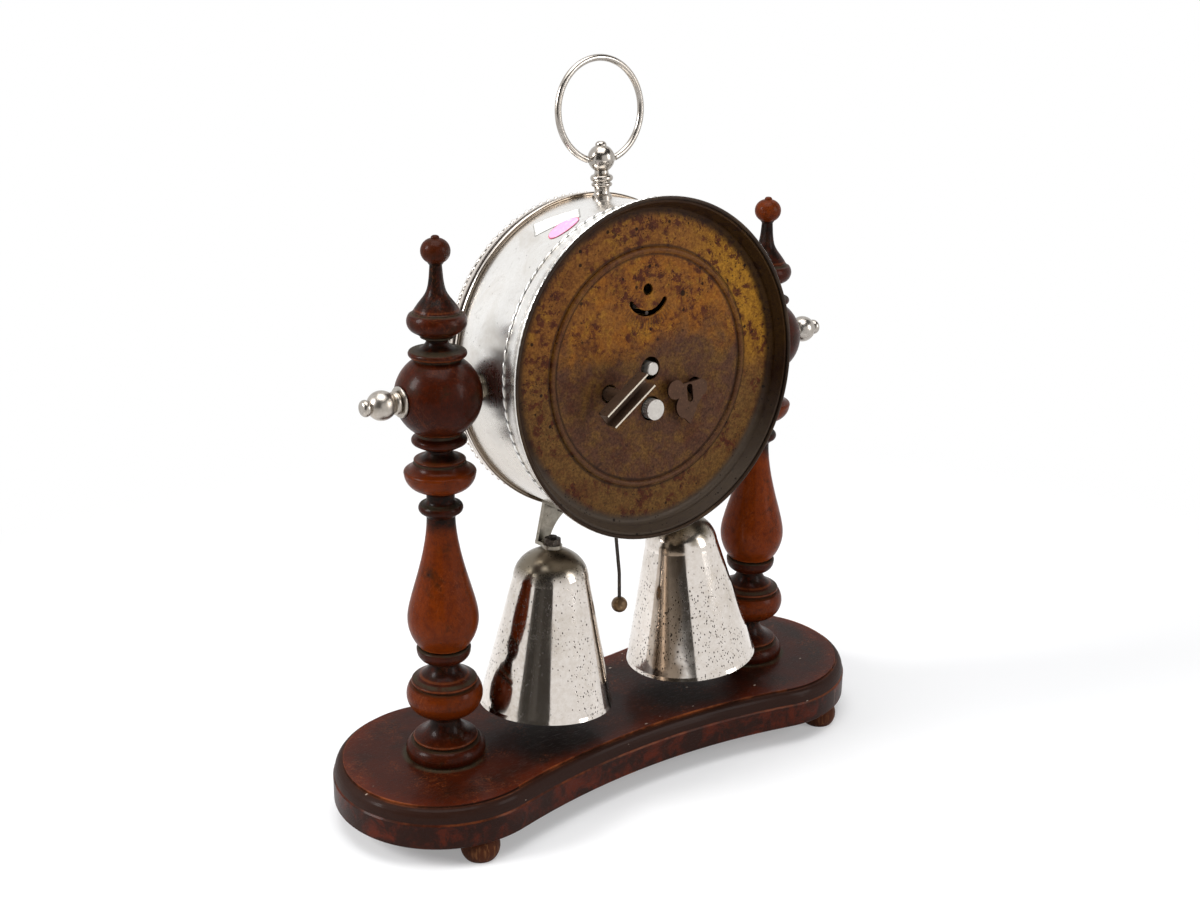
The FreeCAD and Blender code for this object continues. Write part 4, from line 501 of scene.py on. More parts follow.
# nickel plate
brownNickel, patinaNickel, hazyNickel = (0.13, 0.085, 0.045), (0.020, 0.0095, 0.0045), (0.46, 0.40, 0.33)
nickel = {
    "bright": (0.84, 0.825, 0.80), "polished": (0.70, 0.645, 0.595), "soft": (0.40, 0.368, 0.335),
    "dull": (0.235, 0.215, 0.18), "frosted": ((0.42, 6.0, 0.72), (0.32, 0.68)),
    "frostTones": ((0.26, 0.25, 0.23), (0.66, 0.66, 0.66)), "swell": (0.10, 2.0, 0.4),
    "clouds": {"scale": 0.055, "low": 0.46, "high": 0.72}, "waviness": 0.05 * mm, "pitDepth": 0.12,
    "stains": {"scale": 0.23, "low": 0.60, "high": 0.78}, "lineScale": 1.2, "pitMetal": 0.2,
    "pitsTurned": (0.5, 0.8, 0.3), "pitsDrawn": (1.0, 1.0, 0.55),
    "largePits": (1.8, 0.75, 0.4),      # spacing, size and share against the small ones
    "roughness": {"dull": 0.16, "spots": 0.45, "lines": 0.10, "bare": 0.28},
    "dullness": {"tarnish": 0.6, "crown": 1.2, "dirt": 1.6}, "gapShadeStep": (0.30, 0.85),
    "caseShade": (22.0, -42.0), "shadeWander": 18.0, "crownStep": (0.0, 7.0), "crownWander": 4.0,
    "tarnishWaves": (0.05, 3.0), "tarnishWander": 0.5, "tarnishCore": 0.45,
    "grooveSteps": ((0.0, 0.2), (0.0, -0.2)), "bezelEdgeShadow": (-13.5, -13.1),
    "lipStep": (-0.5, 0.0), "rimBare": (66.4, 66.0), "bareShare": 0.98, "bareClouds": 0.3,
    "wallMiddle": 62.75, "wallOpens": 19.6, "wallFlare": 0.0235,
    "tints": {
        # the crown's tint and the bell's brown band are painted reflection, the bezel's corner line a
        # painted shadow, the darkened hollows between pearls and knurls painted shade
        "below": (hazyNickel, 0.75), "tarnish": ((0.16, 0.105, 0.060), 0.85),
        "crown": ((0.125, 0.10, 0.062), 0.9), "stains": (brownNickel, 0.8),
        "dirt": (patinaNickel, 0.97), "corner": (brownNickel, 0.8), "spots": ((0.020, 0.012, 0.007), 0.92),
        "gaps": ((0.012, 0.010, 0.009), 1.0)}}


def nickelPlate(name, haze, pits, spacing, roughness, share=0.3, tone="polished", crown=None,
                groove=None, lip=None, gaps=None, tarnish=None):
    # pits have a size, a spacing and the share of places that hold one; crown is a height above
    # which a bell is dull and tinted olive brown as a painted blurred reflection, groove (low, high)
    # depths of a dirty hollow, with a painted shadow line under the bezel's rolled edge, lip a depth
    # beyond which the case is bare and brown, as it is all over its inside; the gap shade is (how many
    # round the drum, slant, start, darkness) of painted shade in hollows, and the reflection band is
    # (middle, half) of a brown band in degrees, and its axis: a painted reflection of the left bell
    material, shader, p = startMaterial(name, "drumPlace")
    x, y, z = split(p)
    tints, dullness, rough = nickel["tints"], nickel["dullness"], nickel["roughness"]
    clouds = use("blotches", p, **nickel["clouds"])
    dull = clouds * haze
    frost = blend(patches(p, nickel["frosted"]), *nickel["frostTones"])
    colour = blend(haze, blend(dull, nickel[tone], hazyNickel), frost, "SOFT_LIGHT")
    if lip:
        wander = z + clouds * nickel["shadeWander"]
        colour = layered(colour, tints, below=smooth(wander, *nickel["caseShade"]))
    if tarnish:
        # painted reflection: a brown band round the bell's axis stands in for the left bell and column
        # that it reflects, and is made duller too
        middle, half, axis = tarnish
        around = calc("ARCTAN2", y - float(axis[1]), x - float(axis[0]))
        waves = (noise(p, *nickel["tarnishWaves"]) - 0.5) * nickel["tarnishWander"]
        band = near(around + waves, math.radians(middle), math.radians(half), nickel["tarnishCore"])
        colour = layered(colour, tints, tarnish=band)
        dull = anyOf(dull, band * dullness["tarnish"])
    if crown:
        # the crown is dull, and its olive brown is a painted blurred reflection
        top = stepAt(z + clouds * nickel["crownWander"], crown, nickel["crownStep"])
        colour = layered(colour, tints, crown=top)
        dull = anyOf(dull, top * dullness["crown"])
    colour = layered(colour, tints, stains=use("blotches", p, **nickel["stains"]) * haze)
    if groove:
        low, high = [stepAt(y, place, step) for place, step in zip(groove, nickel["grooveSteps"])]
        # dirt in the groove; the brown line at the bezel's inner corner is a painted shadow under its
        # rolled edge
        colour = layered(colour, tints, dirt=low * high, corner=smooth(y, *nickel["bezelEdgeShadow"]))
        dull = anyOf(dull, low * high * dullness["dirt"])
    drawn = stretched(p, nickel["pitsDrawn"], nickel["pitsTurned"])
    wider, smaller, fewer = nickel["largePits"]
    spots = anyOf(use("pits", drawn, spacing=spacing, amount=pits, share=share),
                  use("pits", drawn, spacing=spacing * wider, amount=pits * smaller,
                      share=share * fewer))
    colour = layered(colour, tints, spots=spots)
    if gaps:
        # painted shade in the hollows between pearls and knurls
        count, slant, start, darkness = gaps
        wave = calc("COSINE", calc("ARCTAN2", z, x) * float(count) + (y * slant + start))
        colour = layered(colour, tints, gaps=smooth(wave, *nickel["gapShadeStep"]) * darkness)
    lines = use("scratches", p, scale=nickel["lineScale"]) * rough["lines"]
    roughness = calc("ADD", roughness + dull * rough["dull"] + spots * rough["spots"], lines, clamp=True)
    if lip:
        # the middle of the flaring wall parts its plated outside from its brown inside
        flare = calc("MAXIMUM", y - nickel["wallOpens"], 0.0)
        radius = lengthOf(x, 0.0, z)
        inside = calc("LESS_THAN", radius, flare * flare * nickel["wallFlare"] + nickel["wallMiddle"])
        end = stepAt(y, lip, nickel["lipStep"]) * smooth(radius, *nickel["rimBare"])
        bare = anyOf(end, inside)
        brown = blend(clouds * nickel["bareClouds"], patinaNickel, brownNickel)
        colour = blend(bare * nickel["bareShare"], colour, brown)
        roughness = calc("ADD", roughness, bare * rough["bare"], clamp=True)
    return finishMaterial(material, shader, noise(p, *nickel["swell"]) - spots * nickel["pitDepth"],
                          nickel["waviness"], {"Base Color": colour, "Roughness": roughness,
                                               "Metallic": 1.0 - spots * nickel["pitMetal"]})


plating = {
    "drum_case": nickelPlate("caseNickel", 0.35, 0.30, 1.2, 0.26, 0.12, "bright", lip=32.3),
    "front_bezel": nickelPlate("bezelNickel", 0.5, 0.25, 1.1, 0.20, groove=(-17.2, -14.8)),
    # painted shade in the hollows between the pearls
    "pearl_ring": nickelPlate("pearlNickel", 0.35, 0.2, 1.0, 0.15, gaps=(110, 0.0, 0.0, 0.95)),
    "pendant": nickelPlate("pendantNickel", 0.5, 0.25, 0.9, 0.19, tone="soft"),
    "ring_handle": nickelPlate("ringNickel", 0.5, 0.2, 0.9, 0.20, tone="soft"),
    # the bells' crowns are tinted brown as a painted blurred reflection; the right bell also has a brown
    # band, a painted reflection of the left bell and column
    "bell_left": nickelPlate("bellNickelLeft", 0.45, 0.46, 0.74, 0.085, 0.75, crown=-85.5),
    "bell_right": nickelPlate("bellNickelRight", 0.45, 0.48, 0.76, 0.085, 0.95, crown=-83.0,
                              tarnish=(25.0, 20.0, intoDrum(np.mean(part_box("bell_right"), 0))))}
# painted shade: the brackets and trunnion knobs take the darker plating tones, dull and soft, which stand
# in for the shade and dark reflections on them
for which in ("left", "right"):
    plating["bell_bracket_" + which] = nickelPlate("bracketNickel_" + which, 0.6, 0.40, 0.9, 0.30,
                                                   tone="dull")
    plating["trunnion_knob_" + which] = nickelPlate("knobNickel_" + which, 0.5, 0.26, 0.9, 0.26,
                                                    tone="soft")
for name, material in plating.items():
    nodes[name].data.materials[0] = material
print("nickel dressed,", len(plating), "nodes")

# the line rolled round the drum
rope = {"radius": 63.2, "height": 0.62, "halfWidth": 0.65, "depth": 18.95, "knurls": 88,
        "perKnurl": 12, "across": 9, "slant": 1.5, "hollow": 0.42, "gap": 0.01, "darkness": 0.72}


def gridFaces(rows, columns):
    # quads of a grid that closes in both directions
    i, j = np.meshgrid(np.arange(rows), np.arange(columns), indexing="ij")
    down, right = (i + 1) % rows, (j + 1) % columns
    quads = [i * columns + j, i * columns + right, down * columns + right, down * columns + j]
    return np.stack(quads, -1).reshape(-1, 4)


def putIn(name, data):
    thing = bpy.data.objects.new(name, data)
    bpy.context.scene.collection.objects.link(thing)
    return thing


def makeSurface(name, points, faces, material, rounded=False):
    mesh = bpy.data.meshes.new(name)
    mesh.from_pydata(points.tolist(), [], faces)
    mesh.materials.append(material)
    mesh.polygons.foreach_set("use_smooth", np.full(len(mesh.polygons), rounded))
    mesh.update()
    return putIn(name, mesh)


def makePiece(name, points, faces, material, rounded=False):
    # a new piece of the clock, which rides on the drum
    piece = makeSurface(name, points, faces, material, rounded)
    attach(piece, "drum")
    return piece


def makeRope():
    # radius and depth follow a half round; the round swells and shrinks along the turn, slanted
    turns = rope["knurls"] * rope["perKnurl"]
    theta = np.linspace(0, 2 * np.pi, turns, endpoint=False)[:, None]
    phi = np.linspace(-np.pi / 2, np.pi / 2, rope["across"])[None, :]
    swell = 1 - rope["hollow"] * (0.5 - 0.5 * np.cos(rope["knurls"] * theta + rope["slant"] * phi))
    radius = rope["radius"] + rope["gap"] + rope["height"] * np.cos(phi) * swell
    depth = rope["depth"] + rope["halfWidth"] * np.sin(phi) + 0 * theta
    points = np.stack([radius * np.cos(theta), depth, radius * np.sin(theta)], -1)
    # painted shade in the hollows between the knurls
    slope = rope["slant"] / rope["halfWidth"]
    hollows = (rope["knurls"], slope, math.pi - slope * rope["depth"], rope["darkness"])
    ropeNickel = nickelPlate("ropeNickel", 0.5, 0.2, 1.0, 0.30, tone="bright", gaps=hollows)
    return makePiece("rope_knurled", fromDrum(points.reshape(-1, 3)),
                     gridFaces(turns, rope["across"]).tolist(), ropeNickel, True)


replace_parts(makeRope(), "rope_line")
print("rope line made")

# brass back cover
olive, ochre, gold = (0.108, 0.051, 0.0125), (0.170, 0.064, 0.0105), (0.245, 0.112, 0.010)
purple, umber, blackPit = (0.066, 0.027, 0.014), (0.014, 0.0055, 0.0020), (0.008, 0.005, 0.0035)
rust = (0.052, 0.011, 0.0035)
cover = {
    "amber": (0.205, 0.070, 0.0075), "grey": (0.052, 0.040, 0.030), "specular": 0.10,
    "bumpDepth": 0.10 * mm, "mottleHeight": 0.7,
    "bead": 46.0, "beadStep": (-1.5, 1.5), "beadSides": (-1.7, 1.7), "sideStep": (0.8, 0.1),
    "crestStep": (1.2, 0.5), "wallStep": (57.5, 61.0), "wallShare": 0.9, "wallWander": 0.12,
    "dent": (-16.3, 27.5), "dentStep": (1.5, 0.9),
    # the patina's line and its bulge round the right key
    "patinaLine": 13.0, "lineStep": (8.0, -9.0), "keyPlace": (-21.0, -4.0), "keyPatina": 15.0,
    "keyStep": (2.0, -2.0), "keyWander": 0.4,
    # soft steps to the right and up: gold, ochre over olive, yellow patches, brown over grey
    "goldSide": (-14.0, -42.0), "goldHeight": (-6.0, 10.0), "ochreHeight": (-16.0, 20.0),
    "yellowHeight": (-22.0, 12.0), "greyHeight": (-12.0, -44.0),
    # noises, and the steps through which they part two colours
    "broad": (0.030, 5.0, 0.6, 0.4), "wander": 52.0, "medium": (0.13, 6.0, 0.70, 0.5), "ragged": 14.0,
    "mottled": (0.30, 6.0, 0.75, 0.3), "fine": (1.2, 4.0, 0.7), "amberStep": (0.38, 0.62),
    "oliveStep": (0.40, 0.64), "rustStep": (0.49, 0.57), "fineStep": (0.3, 0.7),
    "brokenStep": (0.35, 0.60), "fineTones": ((0.12, 0.11, 0.10), (0.88, 0.88, 0.86)), "fineShare": 0.62,
    "clustered": ((0.075, 4.0, 0.6), (0.42, 0.55)), "yellowed": ((0.17, 5.0, 0.7, 0.2), (0.50, 0.62)),
    "browned": ((0.42, 5.0, 0.75), (0.52, 0.66)), "stained": ((0.085, 5.0, 0.7, 0.5), (0.50, 0.68)),
    "darkened": {"scale": 0.16, "low": 0.60, "high": 0.74},
    "smallPits": {"spacing": 1.3, "amount": 0.38, "share": 0.60},
    "largePits": {"spacing": 3.2, "amount": 0.30, "share": 0.42}, "pitsOnPatina": 0.35,
    "metallic": (0.15, 0.35), "roughness": (0.3, 0.7, 0.40, 0.54), "pitChange": 0.3,
    "tints": {
        "rusty": (rust, 0.95), "yellow": (gold, 0.6), "brown": (rust, 0.5), "stains": (rust, 0.5),
        "dark": (umber, 0.55), "sides": (umber, 0.7), "crest": (purple, 0.5),
        "rays": (blackPit, 0.45), "spots": (blackPit, 0.85)},
    "rayLine": (0.2, 0.85), "rayStart": (0.0, 0.5), "rayEnd": (0.0, -2.0), "raySide": (0.0, -0.3),
    # engraved fans: centre, whether they spread up or down, count, inner and outer radius, spread
    "rays": (((0.6, 0.0, 31.0), -1.0, 62.0, 10.9, 16.0, 1.15),
             ((0.0, 0.0, 0.0), 1.0, 46.0, 4.8, 9.5, 1.0),
             ((0.0, 0.0, -16.1), -1.0, 46.0, 5.0, 10.0, 1.1))}


def engravedRays(place, centre, facing, count, inner, outer, spread):
    # short lines round a centre: waves of the angle, between two radii and within a spread
    x, y, z = split(vectorCalc("SUBTRACT", place, centre))
    radius = lengthOf(x, 0.0, z)
    angle = calc("ARCTAN2", x, z * facing)
    lines = smooth(calc("COSINE", angle * count), *cover["rayLine"])
    ring = stepAt(radius, inner, cover["rayStart"]) * stepAt(radius, outer, cover["rayEnd"])
    return lines * ring * stepAt(abs(angle), spread, cover["raySide"])


def coverBrass(name):
    # ochre and gold above and to the right as seen from behind, handled brown in the middle
    material, shader, p = startMaterial(name, "drumPlace")
    x, y, z = split(p)
    radius = lengthOf(x, 0.0, z)
    broad, medium, mottled, fine = [
        noise(p, *cover[grade]) for grade in ("broad", "medium", "mottled", "fine")]
    outside = stepAt(radius, cover["bead"], cover["beadStep"])
    ragged = (medium - 0.5) * cover["ragged"]
    level = z + ((broad - 0.5) * cover["wander"] + ragged)
    # the outer ring is gold on its right, ochre at its top and left, olive brown below
    golden = smooth(x + ragged, *cover["goldSide"]) * smooth(level, *cover["goldHeight"])
    ring = blend(golden, blend(smooth(level, *cover["ochreHeight"]), olive, ochre), gold)
    # inside the bead a brown patina below a wandering line, bulging up round the right key
    keyX, keyZ = cover["keyPlace"]
    fromKey = lengthOf(x - keyX, 0.0, z - keyZ) + ragged * cover["keyWander"]
    handled = anyOf(stepAt(fromKey, cover["keyPatina"], cover["keyStep"]),
                    stepAt(level, cover["patinaLine"], cover["lineStep"]))
    middle = blend(smooth(medium, *cover["amberStep"]), ochre, cover["amber"])
    patina = blend(smooth(medium, *cover["oliveStep"]), purple, olive)
    fresh = 1.0 - handled * (1.0 - outside)
    rusty = smooth(mottled, *cover["rustStep"])
    yellow = patches(p, cover["yellowed"]) * (1.0 - rusty) * fresh * smooth(level, *cover["yellowHeight"])
    colour = layered(blend(outside, blend(handled, middle, patina), ring), cover["tints"],
                     rusty=rusty * patches(p, cover["clustered"]) * fresh, yellow=yellow,
                     brown=patches(p, cover["browned"]), stains=patches(p, cover["stained"]),
                     dark=use("blotches", p, **cover["darkened"]))
    tones = blend(smooth(fine, *cover["fineStep"]), *cover["fineTones"])
    colour = blend(cover["fineShare"], colour, tones, "SOFT_LIGHT")
    sides = [smooth(abs(radius - (cover["bead"] + off)), *cover["sideStep"])
             for off in cover["beadSides"]]
    colour = layered(colour, cover["tints"], sides=anyOf(*sides),
                     crest=smooth(abs(radius - cover["bead"]), *cover["crestStep"]))
    # the cup's wall and the corner before it are brown, greyer below
    wall = smooth(radius + ragged * cover["wallWander"], *cover["wallStep"])
    wallTint = blend(smooth(level, *cover["greyHeight"]), umber, cover["grey"])
    colour = blend(wall * cover["wallShare"], colour, wallTint)
    broken = smooth(fine, *cover["brokenStep"])
    rays = [engravedRays(p, *fan) * broken for fan in cover["rays"]]
    dentX, dentZ = cover["dent"]
    pitted = anyOf(use("pits", p, **cover["smallPits"]), use("pits", p, **cover["largePits"]))
    spots = anyOf(pitted * smooth(fresh, 0.0, 1.0, cover["pitsOnPatina"], 1.0),
                  smooth(lengthOf(x - dentX, 0.0, z - dentZ), *cover["dentStep"]))
    colour = layered(colour, cover["tints"], rays=anyOf(*rays), spots=spots)
    change = spots * cover["pitChange"]
    metal = calc("SUBTRACT", smooth(golden * outside, 0.0, 1.0, *cover["metallic"]), change, clamp=True)
    rough = calc("ADD", smooth(medium, *cover["roughness"]), change, clamp=True)
    height = mottled * cover["mottleHeight"] - anyOf(spots, *rays)
    return finishMaterial(material, shader, height, cover["bumpDepth"], {
        "Base Color": colour, "Metallic": metal, "Roughness": rough,
        "Specular IOR Level": cover["specular"]})


nodes["back_cover"].data.materials[0] = coverBrass("coverBrass")
print("back cover dressed")

# keys, knobs and other small metal
worked = {"clouds": (0.35, 4.0, 0.6), "stainStep": (0.35, 0.68), "rubbed": ((1.1, 3.0), (0.55, 0.72)),
          "wornStep": (-0.1, 0.05), "wornWander": 0.3, "pits": {"spacing": 1.3, "amount": 0.4},
          "pit": (0.02, 0.012, 0.008), "pitShare": 0.7, "pitRoughness": 0.25, "glossStep": (0.3, 0.7),
          "glossChange": (-0.06, 0.12), "ringHeight": 0.25, "bumpDepth": 0.03 * mm}


def workedMetal(name, base, worn, roughness, metallic, stain=(0.05, 0.03, 0.02), amount=0.5,
                wornFrom=None, lathe=0.0):
    # handled metal: stains in the hollows, a brighter worn part beyond a depth of the drum
    material, shader, p = startMaterial(name, "drumPlace")
    x, y, z = split(p)
    clouds = noise(p, *worked["clouds"])
    colour = blend(1.0 - amount, blend(smooth(clouds, *worked["stainStep"]), base, stain), base)
    if wornFrom is None:
        bright = patches(p, worked["rubbed"])
    else:
        bright = stepAt(y + clouds * worked["wornWander"], wornFrom, worked["wornStep"])
    spots = use("pits", p, **worked["pits"])
    colour = blend(spots * worked["pitShare"], blend(bright, colour, worn), worked["pit"])
    smoother, rougher = [roughness + change for change in worked["glossChange"]]
    rough = calc("ADD", smooth(clouds, *worked["glossStep"], smoother, rougher),
                 spots * worked["pitRoughness"], clamp=True)
    height = clouds - spots
    if lathe:
        height = height + calc("SINE", lengthOf(x, 0.0, z) * lathe) * worked["ringHeight"]
    return finishMaterial(material, shader, height, worked["bumpDepth"], {
        "Base Color": colour, "Metallic": metallic, "Roughness": rough})


brassYellow = (0.46, 0.30, 0.115)
small = {       # the nodes, base, worn, roughness, metallic, and what differs from the usual
    "keyBrass": ("time_key", (0.105, 0.060, 0.036), (0.62, 0.55, 0.45), 0.46, 0.35,
                 {"wornFrom": 39.75}),
    "leafBrass": ("alarm_key", (0.066, 0.033, 0.020), (0.105, 0.056, 0.032), 0.48, 0.9,
                  {"amount": 0.3}),
    "knobSteel": ("alarm_set_knob centre_arbor", (0.50, 0.47, 0.435), (0.56, 0.53, 0.49), 0.40, 0.7,
                  {"amount": 0.12}),
    # painted shade: the trunnion bosses are a dark grey brass where they sit in shadow beside the columns
    "bossBrass": ("trunnion_bosses", (0.30, 0.26, 0.20), (0.45, 0.40, 0.32), 0.36, 1.0,
                  {"amount": 0.7}),
    "turnedSteel": ("trunnion_pin_left trunnion_pin_right time_winding_arbor alarm_winding_arbor "
                    "alarm_set_arbor pallet_lever time_click alarm_click pillar_nuts",
                    (0.55, 0.54, 0.51), (0.72, 0.71, 0.68), 0.26, 1.0, {"amount": 0.3}),
    "darkSteel": ("regulator_lever", (0.030, 0.025, 0.022), (0.07, 0.06, 0.05), 0.40, 0.8, {}),
    "wireSteel": ("hammer bracket_screws bell_screws", (0.035, 0.030, 0.027), (0.10, 0.08, 0.06),
                  0.42, 0.8, {}),
    "ballBrass": ("hammer_ball", (0.18, 0.105, 0.048), (0.30, 0.20, 0.10), 0.40, 0.6, {}),
    "nutSteel": ("bell_nuts", (0.060, 0.050, 0.042), (0.16, 0.13, 0.10), 0.42, 0.8, {}),
    "plateBrass": ("front_plate back_plate movement_holders", brassYellow, (0.58, 0.40, 0.17),
                   0.36, 1.0, {"stain": (0.30, 0.18, 0.06), "lathe": 9.0}),
    "wheelBrass": ("pillars time_great_wheel alarm_great_wheel centre_wheel third_wheel "
                   "fourth_wheel escape_wheel balance_wheel striker_wheel minute_wheel hour_wheel "
                   "release_wheel", brassYellow, (0.64, 0.45, 0.20), 0.30, 1.0,
                   {"stain": (0.34, 0.21, 0.08)}),
    "springSteel": ("time_mainspring alarm_mainspring hairspring", (0.035, 0.045, 0.085),
                    (0.10, 0.11, 0.14), 0.25, 1.0, {}),
    "handSteel": ("minute_hand hour_hand alarm_hand", (0.012, 0.016, 0.045), (0.03, 0.035, 0.07),
                  0.24, 1.0, {})}
for name, (places, base, worn, roughness, metallic, unusual) in small.items():
    metal = workedMetal(name, base, worn, roughness, metallic, **unusual)
    for place in places.split():
        nodes[place].data.materials[0] = metal
print("small metal dressed")

# dial and glass
dial = {"face": -15.2, "numeralRadius": 42.6, "numeralHeight": 9.4, "trackInner": 49.4,
        "trackOuter": 51.6, "lineWidth": 0.22, "hourBar": 0.9, "minuteBar": 0.3,
        "printHeight": 0.03, "printGap": 0.012, "letterShare": 0.72,       # height over font size
        "letterSteps": 3, "ringSteps": 180,
        "numerals": ["XII", "I", "II", "III", "IIII", "V", "VI", "VII", "VIII", "IX", "X", "XI"]}
alarmDial = {"centre": -16.12, "radius": 9.6, "numeralHeight": 2.6, "numeralInset": 3.0,
             "lineWidth": 0.18, "bar": (0.22, 1.1), "barInset": 0.6, "ringSteps": 96}
dialSheet = {"tones": ((0.84, 0.80, 0.69), (0.55, 0.44, 0.28)), "edge": (44.0, 62.0),
             "waves": (0.06, 5.0, 0.6), "wander": 14.0, "fox": (0.30, 0.18, 0.08), "foxShare": 0.35,
             "foxSpots": {"spacing": 6.0, "amount": 0.45}, "fibre": (3.0, 3.0), "fibreShare": 0.12,
             "fibreTones": ((0.3, 0.3, 0.3), (0.7, 0.7, 0.7)), "bumpDepth": 0.02 * mm,
             "roughness": (0.3, 0.7, 0.55, 0.7)}
dialInk = {"tones": ((0.012, 0.011, 0.010), (0.07, 0.06, 0.05)), "thin": (1.6, 4.0, 0.6),
           "thinStep": (0.55, 0.8), "roughness": (0.3, 0.7, 0.35, 0.5)}
glass = {"clear": {"Base Color": (0.99, 0.99, 0.985), "Transmission Weight": 1.0, "IOR": 1.46},
         "smear": {"scale": 0.05, "low": 0.5, "high": 0.8}, "roughness": (0.01, 0.05)}


def dialPaper(name):
    # aged paper: browner towards its edge, with a few foxing spots
    material, shader, p = startMaterial(name, "drumPlace")
    x, y, z = split(p)
    wander = noise(p, *dialSheet["waves"]) * dialSheet["wander"]
    aged = blend(smooth(lengthOf(x, 0.0, z) + wander, *dialSheet["edge"]), *dialSheet["tones"])
    foxing = use("pits", p, **dialSheet["foxSpots"]) * dialSheet["foxShare"]
    felt = noise(p, *dialSheet["fibre"])
    colour = blend(dialSheet["fibreShare"], blend(foxing, aged, dialSheet["fox"]),
                   blend(felt, *dialSheet["fibreTones"]), "SOFT_LIGHT")
    return finishMaterial(material, shader, felt, dialSheet["bumpDepth"], {
        "Base Color": colour, "Roughness": smooth(felt, *dialSheet["roughness"])})


def printInk(name):
    material, shader, p = startMaterial(name, "drumPlace")
    thin = noise(p, *dialInk["thin"])
    feedAll(shader, {"Base Color": blend(smooth(thin, *dialInk["thinStep"]), *dialInk["tones"]),
                     "Roughness": smooth(thin, *dialInk["roughness"])})
    return material


def domedGlass(name):
    # clear glass with faint smears
    material, shader, p = startMaterial(name, "drumPlace")
    smear = use("blotches", p, **glass["smear"])
    feedAll(shader, {**glass["clear"], "Roughness": smooth(smear, 0.0, 1.0, *glass["roughness"])})
    return material


nodes["dial"].data.materials[0] = dialPaper("dialPaper")
nodes["dial_glass"].data.materials[0] = domedGlass("domedGlass")
ink = printInk("printInk")


def printed(text, height):
    # a word as points and faces, centred and of the print's height
    curve = bpy.data.curves.new("word", "FONT")
    curve.body = text
    curve.size = height / dial["letterShare"]
    curve.align_x = "CENTER"
    curve.align_y = "CENTER"
    curve.extrude = dial["printHeight"] / 2
    curve.resolution_u = dial["letterSteps"]
    word = bpy.data.objects.new("word", curve)
    mesh = bpy.data.meshes.new_from_object(word)
    points = np.empty(len(mesh.vertices) * 3)
    mesh.vertices.foreach_get("co", points)
    faces = [list(polygon.vertices) for polygon in mesh.polygons]
    bpy.data.objects.remove(word)
    return points.reshape(-1, 3), faces


def onDial(shape, radius, degrees, centre=0.0, upright=False):
    # a flat shape (right, up, out) laid on the dial's face, out at a radius and a clockwise angle
    points, faces = shape
    a = math.radians(degrees)
    turn = 0.0 if upright else a
    right = points[:, 0] * math.cos(turn) + points[:, 1] * math.sin(turn) + radius * math.sin(a)
    up = points[:, 1] * math.cos(turn) - points[:, 0] * math.sin(turn) + radius * math.cos(a) + centre
    out = dial["face"] - dial["printHeight"] / 2 - dial["printGap"] - points[:, 2]
    return fromDrum(np.stack([right, out, up], -1)), faces


def joined(name, shapes):
    # several shapes as one printed piece
    points, faces, count = [], [], 0
    for some, their in shapes:
        points.append(some)
        faces += [[index + count for index in face] for face in their]
        count += len(some)
    makePiece(name, np.concatenate(points), faces, ink)


def bar(width, length):
    # a flat brick, centred, of the print's height
    corners = np.array([[sx, sy, sz] for sz in (-1, 1) for sy in (-1, 1) for sx in (-1, 1)], float)
    faces = [[0, 2, 3, 1], [4, 5, 7, 6], [0, 1, 5, 4], [2, 6, 7, 3], [0, 4, 6, 2], [1, 3, 7, 5]]
    return corners * [width / 2, length / 2, dial["printHeight"] / 2], faces


def ringBand(inner, outer, centre=0.0, steps=dial["ringSteps"]):
    # a flat ring: a small rectangle carried round a circle
    angle = np.linspace(0, 2 * np.pi, steps, endpoint=False)[:, None]
    h = dial["printHeight"] / 2
    radius = np.array([[inner, outer, outer, inner]])
    out = np.array([[-h, -h, h, h]]) + 0 * angle
    points = np.stack([radius * np.sin(angle), radius * np.cos(angle), out], -1).reshape(-1, 3)
    return onDial((points, gridFaces(steps, 4)[:, ::-1].tolist()), 0.0, 0.0, centre)


def makePrint():
    joined("dial_numerals", [onDial(printed(text, dial["numeralHeight"]), dial["numeralRadius"], 30 * i)
                             for i, text in enumerate(dial["numerals"])])
    inner, outer = dial["trackInner"], dial["trackOuter"]
    track = [ringBand(inner - dial["lineWidth"], inner), ringBand(outer, outer + dial["lineWidth"])]
    for minute in range(60):
        width = dial["minuteBar"] if minute % 5 else dial["hourBar"]
        track.append(onDial(bar(width, outer - inner), (inner + outer) / 2, 6 * minute))
    joined("dial_minute_track", track)
    centre, radius = alarmDial["centre"], alarmDial["radius"]
    alarm = [ringBand(radius, radius + alarmDial["lineWidth"], centre, alarmDial["ringSteps"])]
    for hour in range(12):
        alarm.append(onDial(bar(*alarmDial["bar"]), radius - alarmDial["barInset"], 30 * hour, centre))
        if hour % 3 == 0:
            word = printed(str(hour or 12), alarmDial["numeralHeight"])
            alarm.append(onDial(word, radius - alarmDial["numeralInset"], 30 * hour, centre, True))
    joined("dial_alarm_track", alarm)


makePrint()
print("dial printed")

